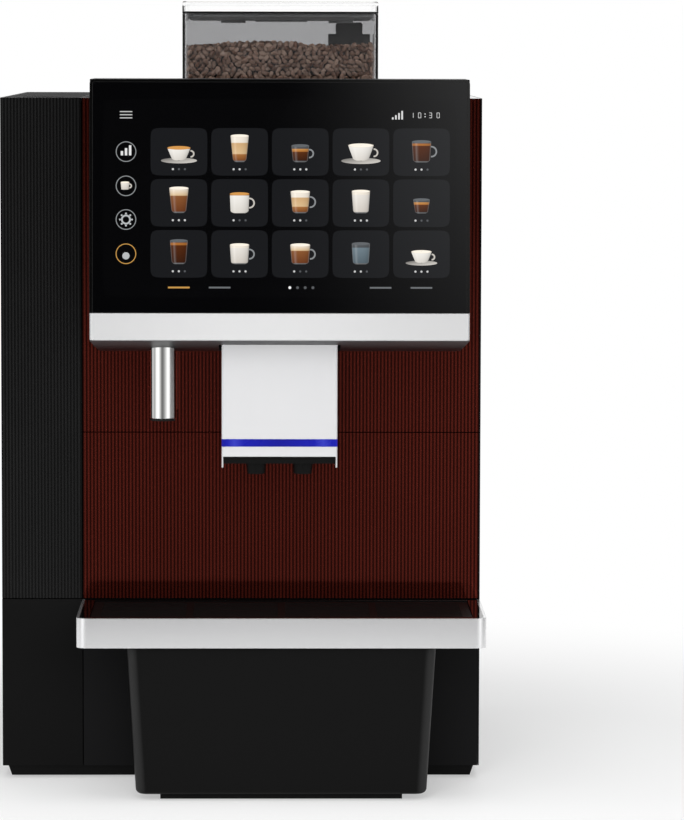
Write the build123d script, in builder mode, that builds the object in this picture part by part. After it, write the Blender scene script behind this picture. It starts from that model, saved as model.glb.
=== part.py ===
from build123d import *
import math
import os

os.makedirs("parts", exist_ok=True)

# An office coffee machine: a body with a water tank column on its left, a head that
# carries the touch screen and hangs over the cup space, a spout that slides up and
# down, a drip tray, a waste drawer under it, and a bean hopper on top.
# Millimetres. X to the right, Y to the back, Z up. The origin is on the counter, under
# the middle of the machine's bounding box.

# Body
overall_width = 411.0
body_depth = 400.0
body_height = 586.0
column_width = 69.0
plinth_height = 11.0
plinth_inset = 4.5
plinth_draft = 3.0
plinth_lift = 1.5
sheet = 1.2
side_sheet = 1.2
side_corner = 0.9
pan_plate = 2.0
skin = 3.0
column_inner_wall = 2.0
cover_thickness = 3.0
deck_height = 150.0
bulkhead_setback = 160.0
grounds_hole_width = 76.0
grounds_hole_depth = 68.0
chute_hole_margin = 3.0
chute_hole_height = 78.0

# Clearances
running_gap = 0.3
seam_gap = 0.8
bore_gap = 0.06

# Ribbed front panels
panel_thickness = 4.0
rib_pitch = 3.0
rib_width = 1.5
rib_height = 1.2
panel_split_height = 300.0
panel_foot_height = 156.6
column_rib_pitch = 2.8
column_rib_height = 0.8
column_cover_foot = 156.6
front_opening_width = 180.0
front_opening_low = 424.0
front_opening_high = 560.0
service_opening_width = 220.0
service_opening_margin = 14.0

# Head with the screen
head_width = 316.8
head_offset = -1.7
head_reach = 100.0
head_top = 602.5
head_wall = 3.0
hood_reach = 36.0
hood_slope = 20.0
screen_foot = 408.5
screen_lean = 5.0
screen_height = 195.0
screen_corner = 4.0
screen_seat = 0.6
bezel_width = 2.5
bezel_depth = 6.0
glass_thickness = 4.0
display_width = 300.0
display_height = 172.0
display_thickness = 8.0
band_height = 23.0
band_wall = 3.0
band_corner = 3.0
chin_reach = 70.0
chin_drop = 13.4
chin_draft = 20.5

# Coffee spout
spout_width = 97.5
spout_front = 71.0
spout_depth = 42.0
spout_wall = 2.5
spout_corner = 1.6
spout_slot_margin = 2.5
trim_leg = 1.4
cover_foot = 300.7
cover_length = 130.0
light_height = 6.4
trim_height = 8.5
trim_side_drop = 9.2
block_drop = 6.0
nozzle_spacing = 39.5
nozzle_length = 10.0
nozzle_radius = 9.0
nozzle_tip_radius = 7.6
nozzle_bore = 3.5
spout_rise = 45.0
rail_width = 26.0
rail_depth = 12.0
carriage_height = 24.0
carriage_wall = 6.0
carriage_plate = 4.0
feed_pipe_radius = 3.0
feed_bore_depth = 60.0

# Hot water outlet
tube_radius = 11.1
tube_wall = 1.2
tube_offset = -98.7
tube_reach = 43.5
tube_foot = 316.0
tube_length = 84.0
tube_seat_lift = 12.0
flange_radius = 18.0
flange_thickness = 4.0
tip_height = 1.8

# Drip tray
tray_reach = 124.0
tray_top = 155.7
tray_band_height = 25.0
tray_band_wall = 2.5
tray_corner = 8.5
tray_rim = 11.0
tray_rear_rim = 7.5
tray_plate = 3.7
basin_floor = 2.5
grille_thickness = 3.0
grille_slot = 4.0
grille_slot_pitch = 8.0
grille_columns = 4
grille_rib = 6.0
grille_margin = 8.0
grille_sink = 1.0
grille_leg_radius = 2.5
arm_width = 4.0
arm_inset = 4.0
arm_reach = 104.0
arm_root = 60.0

# Waste drawer
drawer_top_width = 258.5
drawer_foot_width = 244.0
drawer_reach = 117.0
drawer_foot_reach = 111.0
drawer_corner = 10.0
drawer_foot_corner = 4.5
drawer_gap = 1.2
drawer_foot = 5.0
drawer_wall = 3.0
drawer_body_width = 232.0
drawer_body_depth = 190.0
drawer_body_foot = 16.0
skid_width = 203.0
skid_depth = 24.0
skid_setback = 6.0
skid_lift = 0.8
runner_width = 18.0
rail_lip = 14.0
rail_plate = 2.0
bin_wall = 2.0
bin_gap = 0.5
bin_corner = 6.0
bin_drop = 6.0

# Bean hopper
hopper_width = 174.0
hopper_depth = 176.0
hopper_setback = 150.0
hopper_corner = 7.0
hopper_wall = 3.0
hopper_offset = -1.0
hopper_base_height = 11.0
hopper_rim = 658.7
seal_height = 1.8
lid_height = 8.9
lid_wall = 3.0
liner_depth = 7.5
throat_radius = 24.0
beans_level = 631.0
tower_x = 95.9
tower_width = 24.0
tower_depth = 26.0
tower_top = 651.4
shoulder_width = 37.6
shoulder_height = 641.0
gate_width = 60.0
gate_thickness = 2.4
gate_travel = 50.0
gate_rise = 4.0
gate_tab_reach = 9.0
gate_tab_width = 30.0
seal_width = 8.0
stud_radius = 11.0
stud_height = 2.5

# Grinder
grinder_radius = 46.0
grinder_wall = 5.0
grinder_height = 100.0
burr_radius = 32.0
burr_height = 16.0
burr_gap = 1.0
burr_taper = 20.0
motor_radius = 42.0
motor_height = 105.0
shaft_radius = 6.0
chute_width = 34.0
chute_wall = 2.0
chute_drop = 115.0
chute_depth = 32.0

# Brewing unit
brew_front = 76.0
cylinder_radius = 31.0
cylinder_bore = 25.0
cylinder_height = 50.0
cylinder_floor = 6.0
brew_shelf_height = 300.0
brew_shelf_thickness = 10.0
brew_top_shelf = 432.0
piston_height = 12.0
piston_clear = 12.0
piston_travel = 40.0
yoke_height = 12.0
screw_offset = -46.0
screw_radius = 5.0
brew_motor_radius = 18.0
brew_motor_height = 48.0

# Boilers, pump, board and fan
coffee_boiler_radius = 44.0
coffee_boiler_height = 200.0
water_boiler_radius = 38.0
water_boiler_height = 180.0
boiler_dome = 10.0
pump_radius = 18.0
pump_length = 64.0
board_width = 70.0
board_height = 180.0
board_thickness = 1.6
standoff = 8.0
board_lift = 150.0
fan_size = 80.0
fan_depth = 25.0
fan_bore_radius = 37.0
fan_hub_radius = 16.0
fan_blades = 7
fan_height = 420.0
line_radius = 4.0
line_bend = 14.0
tee_half = 6.0
line_setback = 38.0
feed_line_rise = 40.0
hot_line_drop = 63.0
branch_height = 220.0
coffee_line_rise = 26.0
stub_height = 12.0
coffee_line_shift = 60.0

# Water tank in the column
tank_wall = 2.5
tank_lid_height = 5.0
tank_foot = 32.0
tank_spout_radius = 10.0
tank_spout_lift = 4.0
tank_spout_wall = 3.0
tank_valve_plate = 3.0
tank_corner = 6.0
dock_height = 12.0
dock_length = 50.0
dock_post = 16.0
dock_seat = 3.0
tank_clearance = 1.5

# Rear panel
inlet_width = 27.4
inlet_height = 20.0
inlet_depth = 24.0
inlet_centre_height = 62.0
inlet_offset = 52.0
switch_spacing = 46.0
rocker_proud = 0.8
switch_width = 22.0
switch_height = 28.0
rear_recess = 2.0
louvre_width = 90.0
louvre_height = 4.0
louvre_pitch = 10.0
louvre_rows = 9
louvre_offset = 80.0
louvre_rise = 75.0
screw_head_radius = 3.6
screw_head_height = 1.6
screw_margin = 13.0
screw_rows = 4
foot_radius = 18.0
foot_inset = 42.0

# Places worked out from the sizes above
left = -overall_width / 2
right = overall_width / 2
seam = left + column_width
front = -(body_depth + tray_reach) / 2 + tray_reach
back = front + body_depth
main_mid = (seam + right) / 2
head_mid = main_mid + head_offset
hopper_mid = main_mid + hopper_offset
body_mid_y = (front + back) / 2
cover_low = body_height - cover_thickness
front_sheet = front + panel_thickness + running_gap
bulkhead = front + bulkhead_setback
panel_left = seam + seam_gap
panel_right = right - side_sheet - running_gap
inner_right = right - side_sheet
rear = back - rear_recess
grinder_y = front + hopper_setback + hopper_depth / 2
brew_y = front + brew_front
chute_hole_top = cover_low - grinder_height + 18
pump_x = seam + 26
pump_y = (front_sheet + 48, front_sheet + 48 + pump_length)
pump_z = deck_height + pump_radius + 8
riser_y = pump_y[0] - 30
coffee_boiler_x = hopper_mid - grinder_radius - coffee_boiler_radius - 18
water_boiler_x = hopper_mid + grinder_radius + water_boiler_radius + 24
boiler_y = grinder_y + 40
column_front_wall = front + panel_thickness
tank_x = (left + skin + tank_clearance, seam - column_inner_wall - tank_clearance)
tank_y = (column_front_wall + skin + tank_clearance, back - skin - tank_clearance)
tank_mid_x = (tank_x[0] + tank_x[1]) / 2
dock_y = tank_y[1] - dock_length
shell_floor = plinth_height + skin
line_height = shell_floor + line_radius + 2
line_hole = line_radius + 1
feed_line_height = deck_height + coffee_boiler_height + stub_height + feed_line_rise
hot_line_height = cover_low - hot_line_drop
brew_port_z = brew_shelf_height + 16


def ahead(reach):
    """The Y of a plane that lies this far in front of the body's front."""
    return front - reach


def slab(x, y, z, mode=Mode.ADD):
    """Adds or cuts a block between two limits on each axis."""
    with Locations(((x[0] + x[1]) / 2, (y[0] + y[1]) / 2, (z[0] + z[1]) / 2)):
        Box(x[1] - x[0], y[1] - y[0], z[1] - z[0], mode=mode)


def post(x, y, z, radius, mode=Mode.ADD):
    """Adds or cuts an upright cylinder between two heights."""
    with Locations((x, y, (z[0] + z[1]) / 2)):
        Cylinder(radius, z[1] - z[0], mode=mode)


def lying(x, y, z, radius, mode=Mode.ADD):
    """Adds or cuts a cylinder that runs from front to back between two Y values."""
    with Locations(Location((x, (y[0] + y[1]) / 2, z), (90, 0, 0))):
        Cylinder(radius, y[1] - y[0], mode=mode)


def rounded(x, y, z, radius, mode=Mode.ADD):
    """Adds or cuts a block with rounded upright corners between two limits on each axis."""
    with BuildSketch(Plane.XY.offset(z[0])) as outline:
        with Locations(((x[0] + x[1]) / 2, (y[0] + y[1]) / 2)):
            RectangleRounded(x[1] - x[0], y[1] - y[0], radius)
    extrude(outline.sketch, amount=z[1] - z[0], mode=mode)


def front_rounded(x, y, z, radius, mode=Mode.ADD):
    """Adds or cuts a block whose two upright corners at the front are rounded."""
    with BuildSketch(Plane.XY.offset(z[0])) as outline:
        with Locations(((x[0] + x[1]) / 2, (y[0] + y[1]) / 2)):
            Rectangle(x[1] - x[0], y[1] - y[0])
        fillet(outline.vertices().group_by(Axis.Y)[0], radius)
    extrude(outline.sketch, amount=z[1] - z[0], mode=mode)


def run_of_tube(points, radius, bends):
    """Adds a tube along straight runs joined by tangent arcs."""
    with BuildLine() as route:
        FilletPolyline(*points, radius=bends)
    start = route.line @ 0
    with BuildSketch(Plane(origin=start, z_dir=route.line % 0)) as section:
        Circle(radius)
    sweep(section.sketch, path=route.line)


def ribbed_panel(x, z, pitch, width, height):
    """Adds an upright panel on the front plane whose face is a row of upright ribs."""
    face = front + height
    count = int((x[1] - x[0] - width) / pitch) + 1
    with BuildSketch(Plane.XY.offset(z[0])) as section:
        with Locations(((x[0] + x[1]) / 2, (face + front + panel_thickness) / 2)):
            Rectangle(x[1] - x[0], panel_thickness - height)
        with Locations(((x[0] + x[1]) / 2, front + height / 2)):
            with GridLocations(pitch, 1, count, 1):
                Rectangle(width, height)
    extrude(section.sketch, amount=z[1] - z[0])


# Base pan: a plinth that narrows towards the counter, open underneath
with BuildPart() as base_pan:
    with BuildSketch(Plane.XY.offset(plinth_height)):
        with Locations((0, body_mid_y)):
            Rectangle(overall_width - 2 * plinth_inset, body_depth - 2 * plinth_inset)
    draft = math.degrees(math.atan2(plinth_draft, plinth_height - plinth_lift))
    extrude(amount=-(plinth_height - plinth_lift), taper=draft)
    hollow = plinth_inset + plinth_draft + skin
    slab(
        (left + hollow, right - hollow),
        (front + hollow, back - hollow),
        (plinth_lift, plinth_height - pan_plate),
        Mode.SUBTRACT,
    )
base_pan.part.label = "base_pan"
export_step(base_pan.part, "parts/base_pan.step")

# Rubber feet under the four corners of the pan
foot_x = overall_width / 2 - foot_inset
foot_y = body_depth / 2 - foot_inset
with BuildPart() as rubber_feet:
    with Locations((0, body_mid_y, 0)):
        with GridLocations(2 * foot_x, 2 * foot_y, 2, 2):
            Cylinder(foot_radius, plinth_height - pan_plate, align=(Align.CENTER, Align.CENTER, Align.MIN))
    chamfer(rubber_feet.edges().group_by(Axis.Z)[0], 1.5)
rubber_feet.part.label = "rubber_feet"
export_step(rubber_feet.part, "parts/rubber_feet.step")

# Chassis: side wall to the column, deck over the drawer, bulkhead and front sheet
with BuildPart() as chassis_frame:
    slab((seam, seam + sheet), (front_sheet, rear - sheet), (plinth_height, cover_low))
    slab((seam, inner_right), (front_sheet, rear - sheet), (deck_height - sheet, deck_height))
    slab((seam, inner_right), (bulkhead, bulkhead + sheet), (deck_height, cover_low))
    slab((seam, inner_right), (front_sheet, front_sheet + sheet), (deck_height - sheet, cover_low))
    slab(
        (head_mid - front_opening_width / 2, head_mid + front_opening_width / 2),
        (front_sheet, front_sheet + sheet),
        (front_opening_low, front_opening_high),
        Mode.SUBTRACT,
    )
    slab(
        (main_mid - service_opening_width / 2, main_mid + service_opening_width / 2),
        (front_sheet, front_sheet + sheet),
        (deck_height + service_opening_margin, panel_split_height - service_opening_margin),
        Mode.SUBTRACT,
    )
    # Where spent coffee falls from the brewing unit into the drawer
    slab(
        (hopper_mid - grounds_hole_width / 2, hopper_mid + grounds_hole_width / 2),
        (brew_y - grounds_hole_depth / 2, brew_y + grounds_hole_depth / 2),
        (deck_height - sheet, deck_height),
        Mode.SUBTRACT,
    )
    # Where the coffee chute passes through the bulkhead
    slab(
        (
            hopper_mid - chute_width / 2 - chute_hole_margin,
            hopper_mid + chute_width / 2 + chute_hole_margin,
        ),
        (bulkhead, bulkhead + sheet),
        (chute_hole_top - chute_hole_height, chute_hole_top),
        Mode.SUBTRACT,
    )
    # Holes for the water lines
    with Locations(Location((seam, dock_y, line_height), (0, 90, 0))):
        Cylinder(line_hole, 3 * column_inner_wall, mode=Mode.SUBTRACT)
    post(pump_x, bulkhead + line_setback, (deck_height - sheet, deck_height), line_hole, Mode.SUBTRACT)
    for hole_x, hole_z in (
        (pump_x, pump_z),
        (pump_x, feed_line_height),
        (coffee_boiler_x, brew_port_z),
        (water_boiler_x, branch_height),
        (water_boiler_x, hot_line_height),
    ):
        lying(hole_x, (bulkhead, bulkhead + sheet), hole_z, line_hole, Mode.SUBTRACT)
chassis_frame.part.label = "chassis_frame"
export_step(chassis_frame.part, "parts/chassis_frame.step")

# Right side panel: a sheet with softened outer corners
with BuildPart() as right_side_panel:
    slab((inner_right, right), (front, back), (plinth_height, body_height))
    fillet(right_side_panel.edges().filter_by(Axis.Z).group_by(Axis.X)[-1], side_corner)
right_side_panel.part.label = "right_side_panel"
export_step(right_side_panel.part, "parts/right_side_panel.step")

# Rear panel with louvres, the fan's grille and the openings for inlet and switch
fan_x = main_mid
inlet_x = seam + inlet_offset
switch_x = inlet_x + switch_spacing
louvre_z = deck_height + louvre_rise
with BuildPart() as rear_panel:
    slab((seam + seam_gap, inner_right), (rear - sheet, rear), (plinth_height, cover_low))
    with BuildSketch(Plane.XZ.offset(-rear)) as vents:
        with Locations((main_mid + louvre_offset, louvre_z), (main_mid - louvre_offset, louvre_z)):
            with GridLocations(louvre_width, louvre_pitch, 1, louvre_rows):
                SlotOverall(louvre_width, louvre_height)
        with Locations((fan_x, fan_height)):
            with GridLocations(fan_size, louvre_pitch, 1, 7):
                SlotOverall(fan_size * 0.86, louvre_height)
        with Locations((inlet_x, inlet_centre_height)):
            Rectangle(inlet_width, inlet_height)
        with Locations((switch_x, inlet_centre_height)):
            Rectangle(switch_width, switch_height)
    extrude(vents.sketch, amount=sheet, mode=Mode.SUBTRACT)
rear_panel.part.label = "rear_panel"
export_step(rear_panel.part, "parts/rear_panel.step")

# Top cover behind the ribbed panels, with the throat under the hopper
with BuildPart() as top_cover:
    slab((seam + seam_gap, inner_right), (front_sheet, back), (cover_low, body_height))
    post(hopper_mid, grinder_y, (cover_low, body_height), throat_radius, Mode.SUBTRACT)
top_cover.part.label = "top_cover"
export_step(top_cover.part, "parts/top_cover.step")

# Column shell: an open-topped box that takes the tank, stepped back for its ribbed cover
with BuildPart() as column_shell:
    slab((left, seam), (front, back), (plinth_height, column_cover_foot - seam_gap))
    slab((left, seam), (column_front_wall, back), (plinth_height, body_height))
    slab(
        (left + skin, seam - column_inner_wall),
        (column_front_wall + skin, back - skin),
        (plinth_height + skin, body_height),
        Mode.SUBTRACT,
    )
    with Locations(Location((seam, dock_y, line_height), (0, 90, 0))):
        Cylinder(line_hole, 3 * column_inner_wall, mode=Mode.SUBTRACT)
column_shell.part.label = "column_shell"
export_step(column_shell.part, "parts/column_shell.step")

# Ribbed front cover of the column
with BuildPart() as column_front_cover:
    ribbed_panel(
        (left, seam - seam_gap / 2),
        (column_cover_foot, body_height),
        column_rib_pitch,
        column_rib_pitch / 2,
        column_rib_height,
    )
column_front_cover.part.label = "column_front_cover"
export_step(column_front_cover.part, "parts/column_front_cover.step")

# Lower fascia behind the drawer and the tray
opening_half = drawer_body_width / 2 + 3
arm_centres = (seam + arm_inset + arm_width / 2, right - arm_inset - arm_width / 2)
arm_low = tray_top - tray_band_height + basin_floor
arm_high = tray_top - tray_plate - running_gap
with BuildPart() as lower_fascia:
    slab((panel_left, panel_right), (front, front + skin), (plinth_height, panel_foot_height - seam_gap))
    slab(
        (main_mid - opening_half, main_mid + opening_half),
        (front, front + skin),
        (plinth_height, tray_top - tray_band_height - 1),
        Mode.SUBTRACT,
    )
    for arm_x in arm_centres:
        slab(
            (arm_x - arm_width / 2 - 0.2, arm_x + arm_width / 2 + 0.2),
            (front, front + skin),
            (arm_low - 0.2, arm_high + 0.2),
            Mode.SUBTRACT,
        )
lower_fascia.part.label = "lower_fascia"
export_step(lower_fascia.part, "parts/lower_fascia.step")

# Upper ribbed panel, open behind the head for its bracket, cable and pipes
with BuildPart() as upper_front_panel:
    ribbed_panel(
        (panel_left, panel_right),
        (panel_split_height + seam_gap / 2, body_height),
        rib_pitch,
        rib_width,
        rib_height,
    )
    slab(
        (head_mid - front_opening_width / 2, head_mid + front_opening_width / 2),
        (front, front + panel_thickness),
        (front_opening_low, front_opening_high),
        Mode.SUBTRACT,
    )
upper_front_panel.part.label = "upper_front_panel"
export_step(upper_front_panel.part, "parts/upper_front_panel.step")

# Lower ribbed panel, held by magnets, which pulls off to reach the brewing unit
with BuildPart() as lower_front_panel:
    ribbed_panel(
        (panel_left, panel_right),
        (panel_foot_height, panel_split_height - seam_gap / 2),
        rib_pitch,
        rib_width,
        rib_height,
    )
lower_front_panel.part.label = "lower_front_panel"
export_step(lower_front_panel.part, "parts/lower_front_panel.step")

# The head: its side outline leans back with the screen, and its underside slopes down
# towards the body, with drafted sides
head_left = head_mid - head_width / 2
head_right = head_mid + head_width / 2
lean = math.radians(screen_lean)
band_foot = screen_foot - band_height
chin_foot = band_foot - chin_drop
tube_seat = chin_foot + tube_seat_lift
screen_plane = Plane(
    origin=(head_mid, ahead(head_reach), screen_foot),
    x_dir=(1, 0, 0),
    z_dir=(0, -math.cos(lean), math.sin(lean)),
)


def behind_screen(depth, height):
    """Y and Z of a point this deep behind the screen's face and this far up along it."""
    y = ahead(head_reach) + height * math.sin(lean) + depth * math.cos(lean)
    z = screen_foot + height * math.cos(lean) - depth * math.sin(lean)
    return y, z


def head_outline(depth, wall, floor):
    """The head's side outline, this deep behind the screen's face, drawn in Y and Z."""
    low_y, low_z = behind_screen(depth, 0)
    top = head_top - wall
    Polyline(
        (front, floor),
        (low_y + (floor - low_z) * math.tan(lean), floor),
        (low_y + (top - low_z) * math.tan(lean), top),
        (front, top),
        close=True,
    )


slot_half = spout_width / 2 + spout_slot_margin
slot_front = spout_front + 2.0
slot_back = spout_front - spout_depth - 2.0
tube_x = head_mid + tube_offset
with BuildPart() as head_shell:
    with BuildSketch(Plane.YZ.offset(head_left)):
        with BuildLine():
            head_outline(bezel_depth, 0, screen_foot)
        make_face()
    extrude(amount=head_width)
    slab((head_left, head_right), (ahead(head_reach - band_wall), front), (band_foot, screen_foot))
    with BuildSketch(Plane.XY.offset(band_foot)) as chin:
        with Locations((head_mid, ahead(head_reach / 2) + chin_drop / 2)):
            Rectangle(head_width, head_reach + chin_drop)
    extrude(chin.sketch, amount=-chin_drop, taper=chin_draft)
    slab((head_left, head_right), (front, front + chin_drop), (chin_foot, band_foot), Mode.SUBTRACT)
    # Hood that runs back over the top cover
    with BuildSketch(Plane.YZ.offset(head_left)) as hood:
        with BuildLine():
            Polyline(
                (front, body_height),
                (front, head_top),
                (front + hood_reach - hood_slope, head_top),
                (front + hood_reach, body_height),
                close=True,
            )
        make_face()
    extrude(hood.sketch, amount=head_width)
    # Inside: the room behind the display and the well under it
    with BuildSketch(Plane.YZ.offset(head_left + head_wall)) as inside:
        with BuildLine():
            head_outline(bezel_depth - 1, head_wall, screen_foot + head_wall)
        make_face()
    extrude(inside.sketch, amount=head_width - 2 * head_wall, mode=Mode.SUBTRACT)
    with BuildSketch(Plane.YZ.offset(head_left + 2 * head_wall)) as well:
        with BuildLine():
            Polyline(
                (front, chin_foot + head_wall),
                (ahead(head_reach - chin_reach), chin_foot + head_wall),
                (ahead(head_reach - 2 * head_wall), band_foot + head_wall),
                (ahead(head_reach - 2 * head_wall), screen_foot + head_wall),
                (front, screen_foot + head_wall),
                close=True,
            )
        make_face()
    extrude(well.sketch, amount=head_width - 4 * head_wall, mode=Mode.SUBTRACT)
    # Boss that takes the flange of the hot water tube
    post(tube_x, ahead(tube_reach), (chin_foot, tube_seat), flange_radius + 1)
    # The slope of the underside, cut by a wedge below it
    with BuildSketch(Plane.YZ.offset(head_left)) as wedge:
        with BuildLine():
            Polyline(
                (ahead(head_reach), band_foot),
                (ahead(head_reach - chin_reach), chin_foot),
                (ahead(head_reach - chin_reach), chin_foot - 5),
                (ahead(head_reach), chin_foot - 5),
                close=True,
            )
        make_face()
    extrude(wedge.sketch, amount=head_width, mode=Mode.SUBTRACT)
    # Slot for the spout, hole for the hot water tube, seat for the trim band
    slab(
        (head_mid - slot_half, head_mid + slot_half),
        (ahead(slot_front), ahead(slot_back)),
        (chin_foot - 1, screen_foot),
        Mode.SUBTRACT,
    )
    post(tube_x, ahead(tube_reach), (chin_foot - 1, screen_foot), tube_radius + 0.2, Mode.SUBTRACT)
    for seat_x in (head_left, head_right - band_wall):
        slab(
            (seat_x, seat_x + band_wall),
            (ahead(head_reach), front),
            (band_foot, screen_foot),
            Mode.SUBTRACT,
        )
head_shell.part.label = "head_shell"
export_step(head_shell.part, "parts/head_shell.step")

# Silver trim band round the foot of the head
with BuildPart() as head_trim_band:
    slab((head_left, head_right), (ahead(head_reach), front), (band_foot, screen_foot))
    fillet(head_trim_band.edges().filter_by(Axis.Z).group_by(Axis.Y)[0], band_corner)
    chamfer(head_trim_band.edges().group_by(Axis.Z)[0].group_by(Axis.Y)[0], 0.8)
    slab(
        (head_left + band_wall, head_right - band_wall),
        (ahead(head_reach - band_wall), front),
        (band_foot, screen_foot),
        Mode.SUBTRACT,
    )
head_trim_band.part.label = "head_trim_band"
export_step(head_trim_band.part, "parts/head_trim_band.step")

# Bezel: a thin frame round the glass, open at its foot
glass_width = head_width - 2 * bezel_width
glass_height = screen_height - bezel_width - screen_seat
glass_middle = screen_seat + glass_height / 2
with BuildPart() as screen_bezel:
    with BuildSketch(screen_plane) as frame_face:
        with Locations((0, (screen_height + screen_seat) / 2)):
            Rectangle(head_width, screen_height - screen_seat)
        fillet(frame_face.vertices().group_by(Axis.Y)[-1], screen_corner)
    extrude(amount=-bezel_depth)
    with BuildSketch(screen_plane) as frame_hole:
        with Locations((0, glass_middle - screen_seat)):
            Rectangle(glass_width, glass_height + 2 * screen_seat)
        fillet(frame_hole.vertices().group_by(Axis.Y)[-1], screen_corner - bezel_width)
    extrude(amount=-bezel_depth, mode=Mode.SUBTRACT)
screen_bezel.part.label = "screen_bezel"
export_step(screen_bezel.part, "parts/screen_bezel.step")

# Black glass over the display
with BuildPart() as screen_glass:
    with BuildSketch(screen_plane) as pane:
        with Locations((0, glass_middle)):
            Rectangle(glass_width, glass_height)
        fillet(pane.vertices().group_by(Axis.Y)[-1], screen_corner - bezel_width)
    extrude(amount=-glass_thickness)
screen_glass.part.label = "screen_glass"
export_step(screen_glass.part, "parts/screen_glass.step")

# Display module bonded to the back of the glass, in the head's frame
with BuildPart() as display_panel:
    with BuildSketch(screen_plane.offset(-glass_thickness)):
        with Locations((0, glass_middle)):
            RectangleRounded(display_width, display_height, 2)
    extrude(amount=-display_thickness)
display_panel.part.label = "display_panel"
export_step(display_panel.part, "parts/display_panel.step")

# Hot water outlet: a straight steel tube with a black insert in its mouth
tube_y = ahead(tube_reach)
with BuildPart() as hot_water_tube:
    post(tube_x, tube_y, (tube_foot, tube_foot + tube_length), tube_radius)
    chamfer(hot_water_tube.edges().group_by(Axis.Z)[0], 0.5)
    post(
        tube_x,
        tube_y,
        (tube_foot, tube_foot + tube_length - 4),
        tube_radius - tube_wall,
        Mode.SUBTRACT,
    )
    post(tube_x, tube_y, (tube_foot, tube_foot + tube_length), feed_pipe_radius + 1, Mode.SUBTRACT)
    # Flange that hangs the tube on its boss in the head
    flange_z = (tube_seat, tube_seat + flange_thickness)
    post(tube_x, tube_y, flange_z, flange_radius)
    post(tube_x, tube_y, flange_z, tube_radius - tube_wall, Mode.SUBTRACT)
hot_water_tube.part.label = "hot_water_tube"
export_step(hot_water_tube.part, "parts/hot_water_tube.step")

with BuildPart() as hot_water_tip:
    post(tube_x, tube_y, (tube_foot - tip_height, tube_foot), tube_radius - 0.5)
    post(tube_x, tube_y, (tube_foot, tube_foot + 10), tube_radius - tube_wall - bore_gap)
    post(tube_x, tube_y, (tube_foot - tip_height, tube_foot + 10), tube_radius - 4, Mode.SUBTRACT)
hot_water_tip.part.label = "hot_water_tip"
export_step(hot_water_tip.part, "parts/hot_water_tip.step")

# Coffee spout: white cover, blue light strip, white lower trim, black block and nozzles
spout_left = head_mid - spout_width / 2
spout_right = head_mid + spout_width / 2
spout_y = (ahead(spout_front), ahead(spout_front - spout_depth))
light_top = cover_foot
light_foot = light_top - light_height
trim_foot = light_foot - trim_height
block_foot = trim_foot - block_drop
cover_top = cover_foot + cover_length
nozzle_y = (spout_y[0] + spout_y[1]) / 2
inside_x = (spout_left + spout_wall, spout_right - spout_wall)
inside_y = (spout_y[0] + spout_wall, spout_y[1])


def spout_ring(z):
    """Adds a piece of the spout's wall, round its front and sides, between two heights."""
    front_rounded((spout_left, spout_right), spout_y, z, spout_corner)
    slab(inside_x, inside_y, z, Mode.SUBTRACT)


with BuildPart() as spout_cover:
    spout_ring((cover_foot, cover_top))
spout_cover.part.label = "spout_cover"
export_step(spout_cover.part, "parts/spout_cover.step")

with BuildPart() as spout_light_strip:
    spout_ring((light_foot, light_top))
spout_light_strip.part.label = "spout_light_strip"
export_step(spout_light_strip.part, "parts/spout_light_strip.step")

# Lower trim, whose sides go on down as thin legs beside the block
leg_x = (spout_left + trim_leg, spout_right - trim_leg)
with BuildPart() as spout_lower_trim:
    spout_ring((trim_foot - trim_side_drop, light_foot))
    slab(leg_x, spout_y, (trim_foot - trim_side_drop, trim_foot), Mode.SUBTRACT)
spout_lower_trim.part.label = "spout_lower_trim"
export_step(spout_lower_trim.part, "parts/spout_lower_trim.step")

# Block inside the cover: carries the nozzles and runs on the rail in the head
rail_y = (front, ahead(rail_depth))
carriage_foot = cover_top - carriage_height
nozzle_xs = (head_mid - nozzle_spacing / 2, head_mid + nozzle_spacing / 2)
block_top = cover_foot + feed_bore_depth
with BuildPart() as spout_block:
    slab(inside_x, inside_y, (block_foot, light_top + carriage_wall))
    slab(leg_x, inside_y, (block_foot, trim_foot))
    for nozzle_x in nozzle_xs:
        post(nozzle_x, nozzle_y, (light_top, block_top), feed_pipe_radius + 4)
    # Back plate up to the carriage round the rail
    slab(
        (head_mid - rail_width / 2 - 8, head_mid + rail_width / 2 + 8),
        (spout_y[1] - carriage_plate, spout_y[1]),
        (light_top, cover_top),
    )
    slab(inside_x, (spout_y[1] - carriage_plate, spout_y[1]), (carriage_foot, cover_top))
    slab(
        (head_mid - rail_width / 2 - carriage_wall, head_mid + rail_width / 2 + carriage_wall),
        (spout_y[1], front - 1),
        (carriage_foot, cover_top),
    )
    slab(
        (head_mid - rail_width / 2 - running_gap, head_mid + rail_width / 2 + running_gap),
        (rail_y[1] - running_gap, front),
        (carriage_foot, cover_top),
        Mode.SUBTRACT,
    )
    for nozzle_x in nozzle_xs:
        post(nozzle_x, nozzle_y, (block_foot, block_top), feed_pipe_radius + running_gap, Mode.SUBTRACT)
spout_block.part.label = "spout_block"
export_step(spout_block.part, "parts/spout_block.step")

with BuildPart() as coffee_nozzles:
    for nozzle_x in nozzle_xs:
        with BuildSketch(Plane.XY.offset(block_foot)) as wide:
            with Locations((nozzle_x, nozzle_y)):
                Circle(nozzle_radius)
        draft = math.degrees(math.atan2(nozzle_radius - nozzle_tip_radius, nozzle_length))
        extrude(wide.sketch, amount=-nozzle_length, taper=draft)
        post(nozzle_x, nozzle_y, (block_foot - nozzle_length, block_foot), nozzle_bore, Mode.SUBTRACT)
coffee_nozzles.part.label = "coffee_nozzles"
export_step(coffee_nozzles.part, "parts/coffee_nozzles.step")

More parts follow.
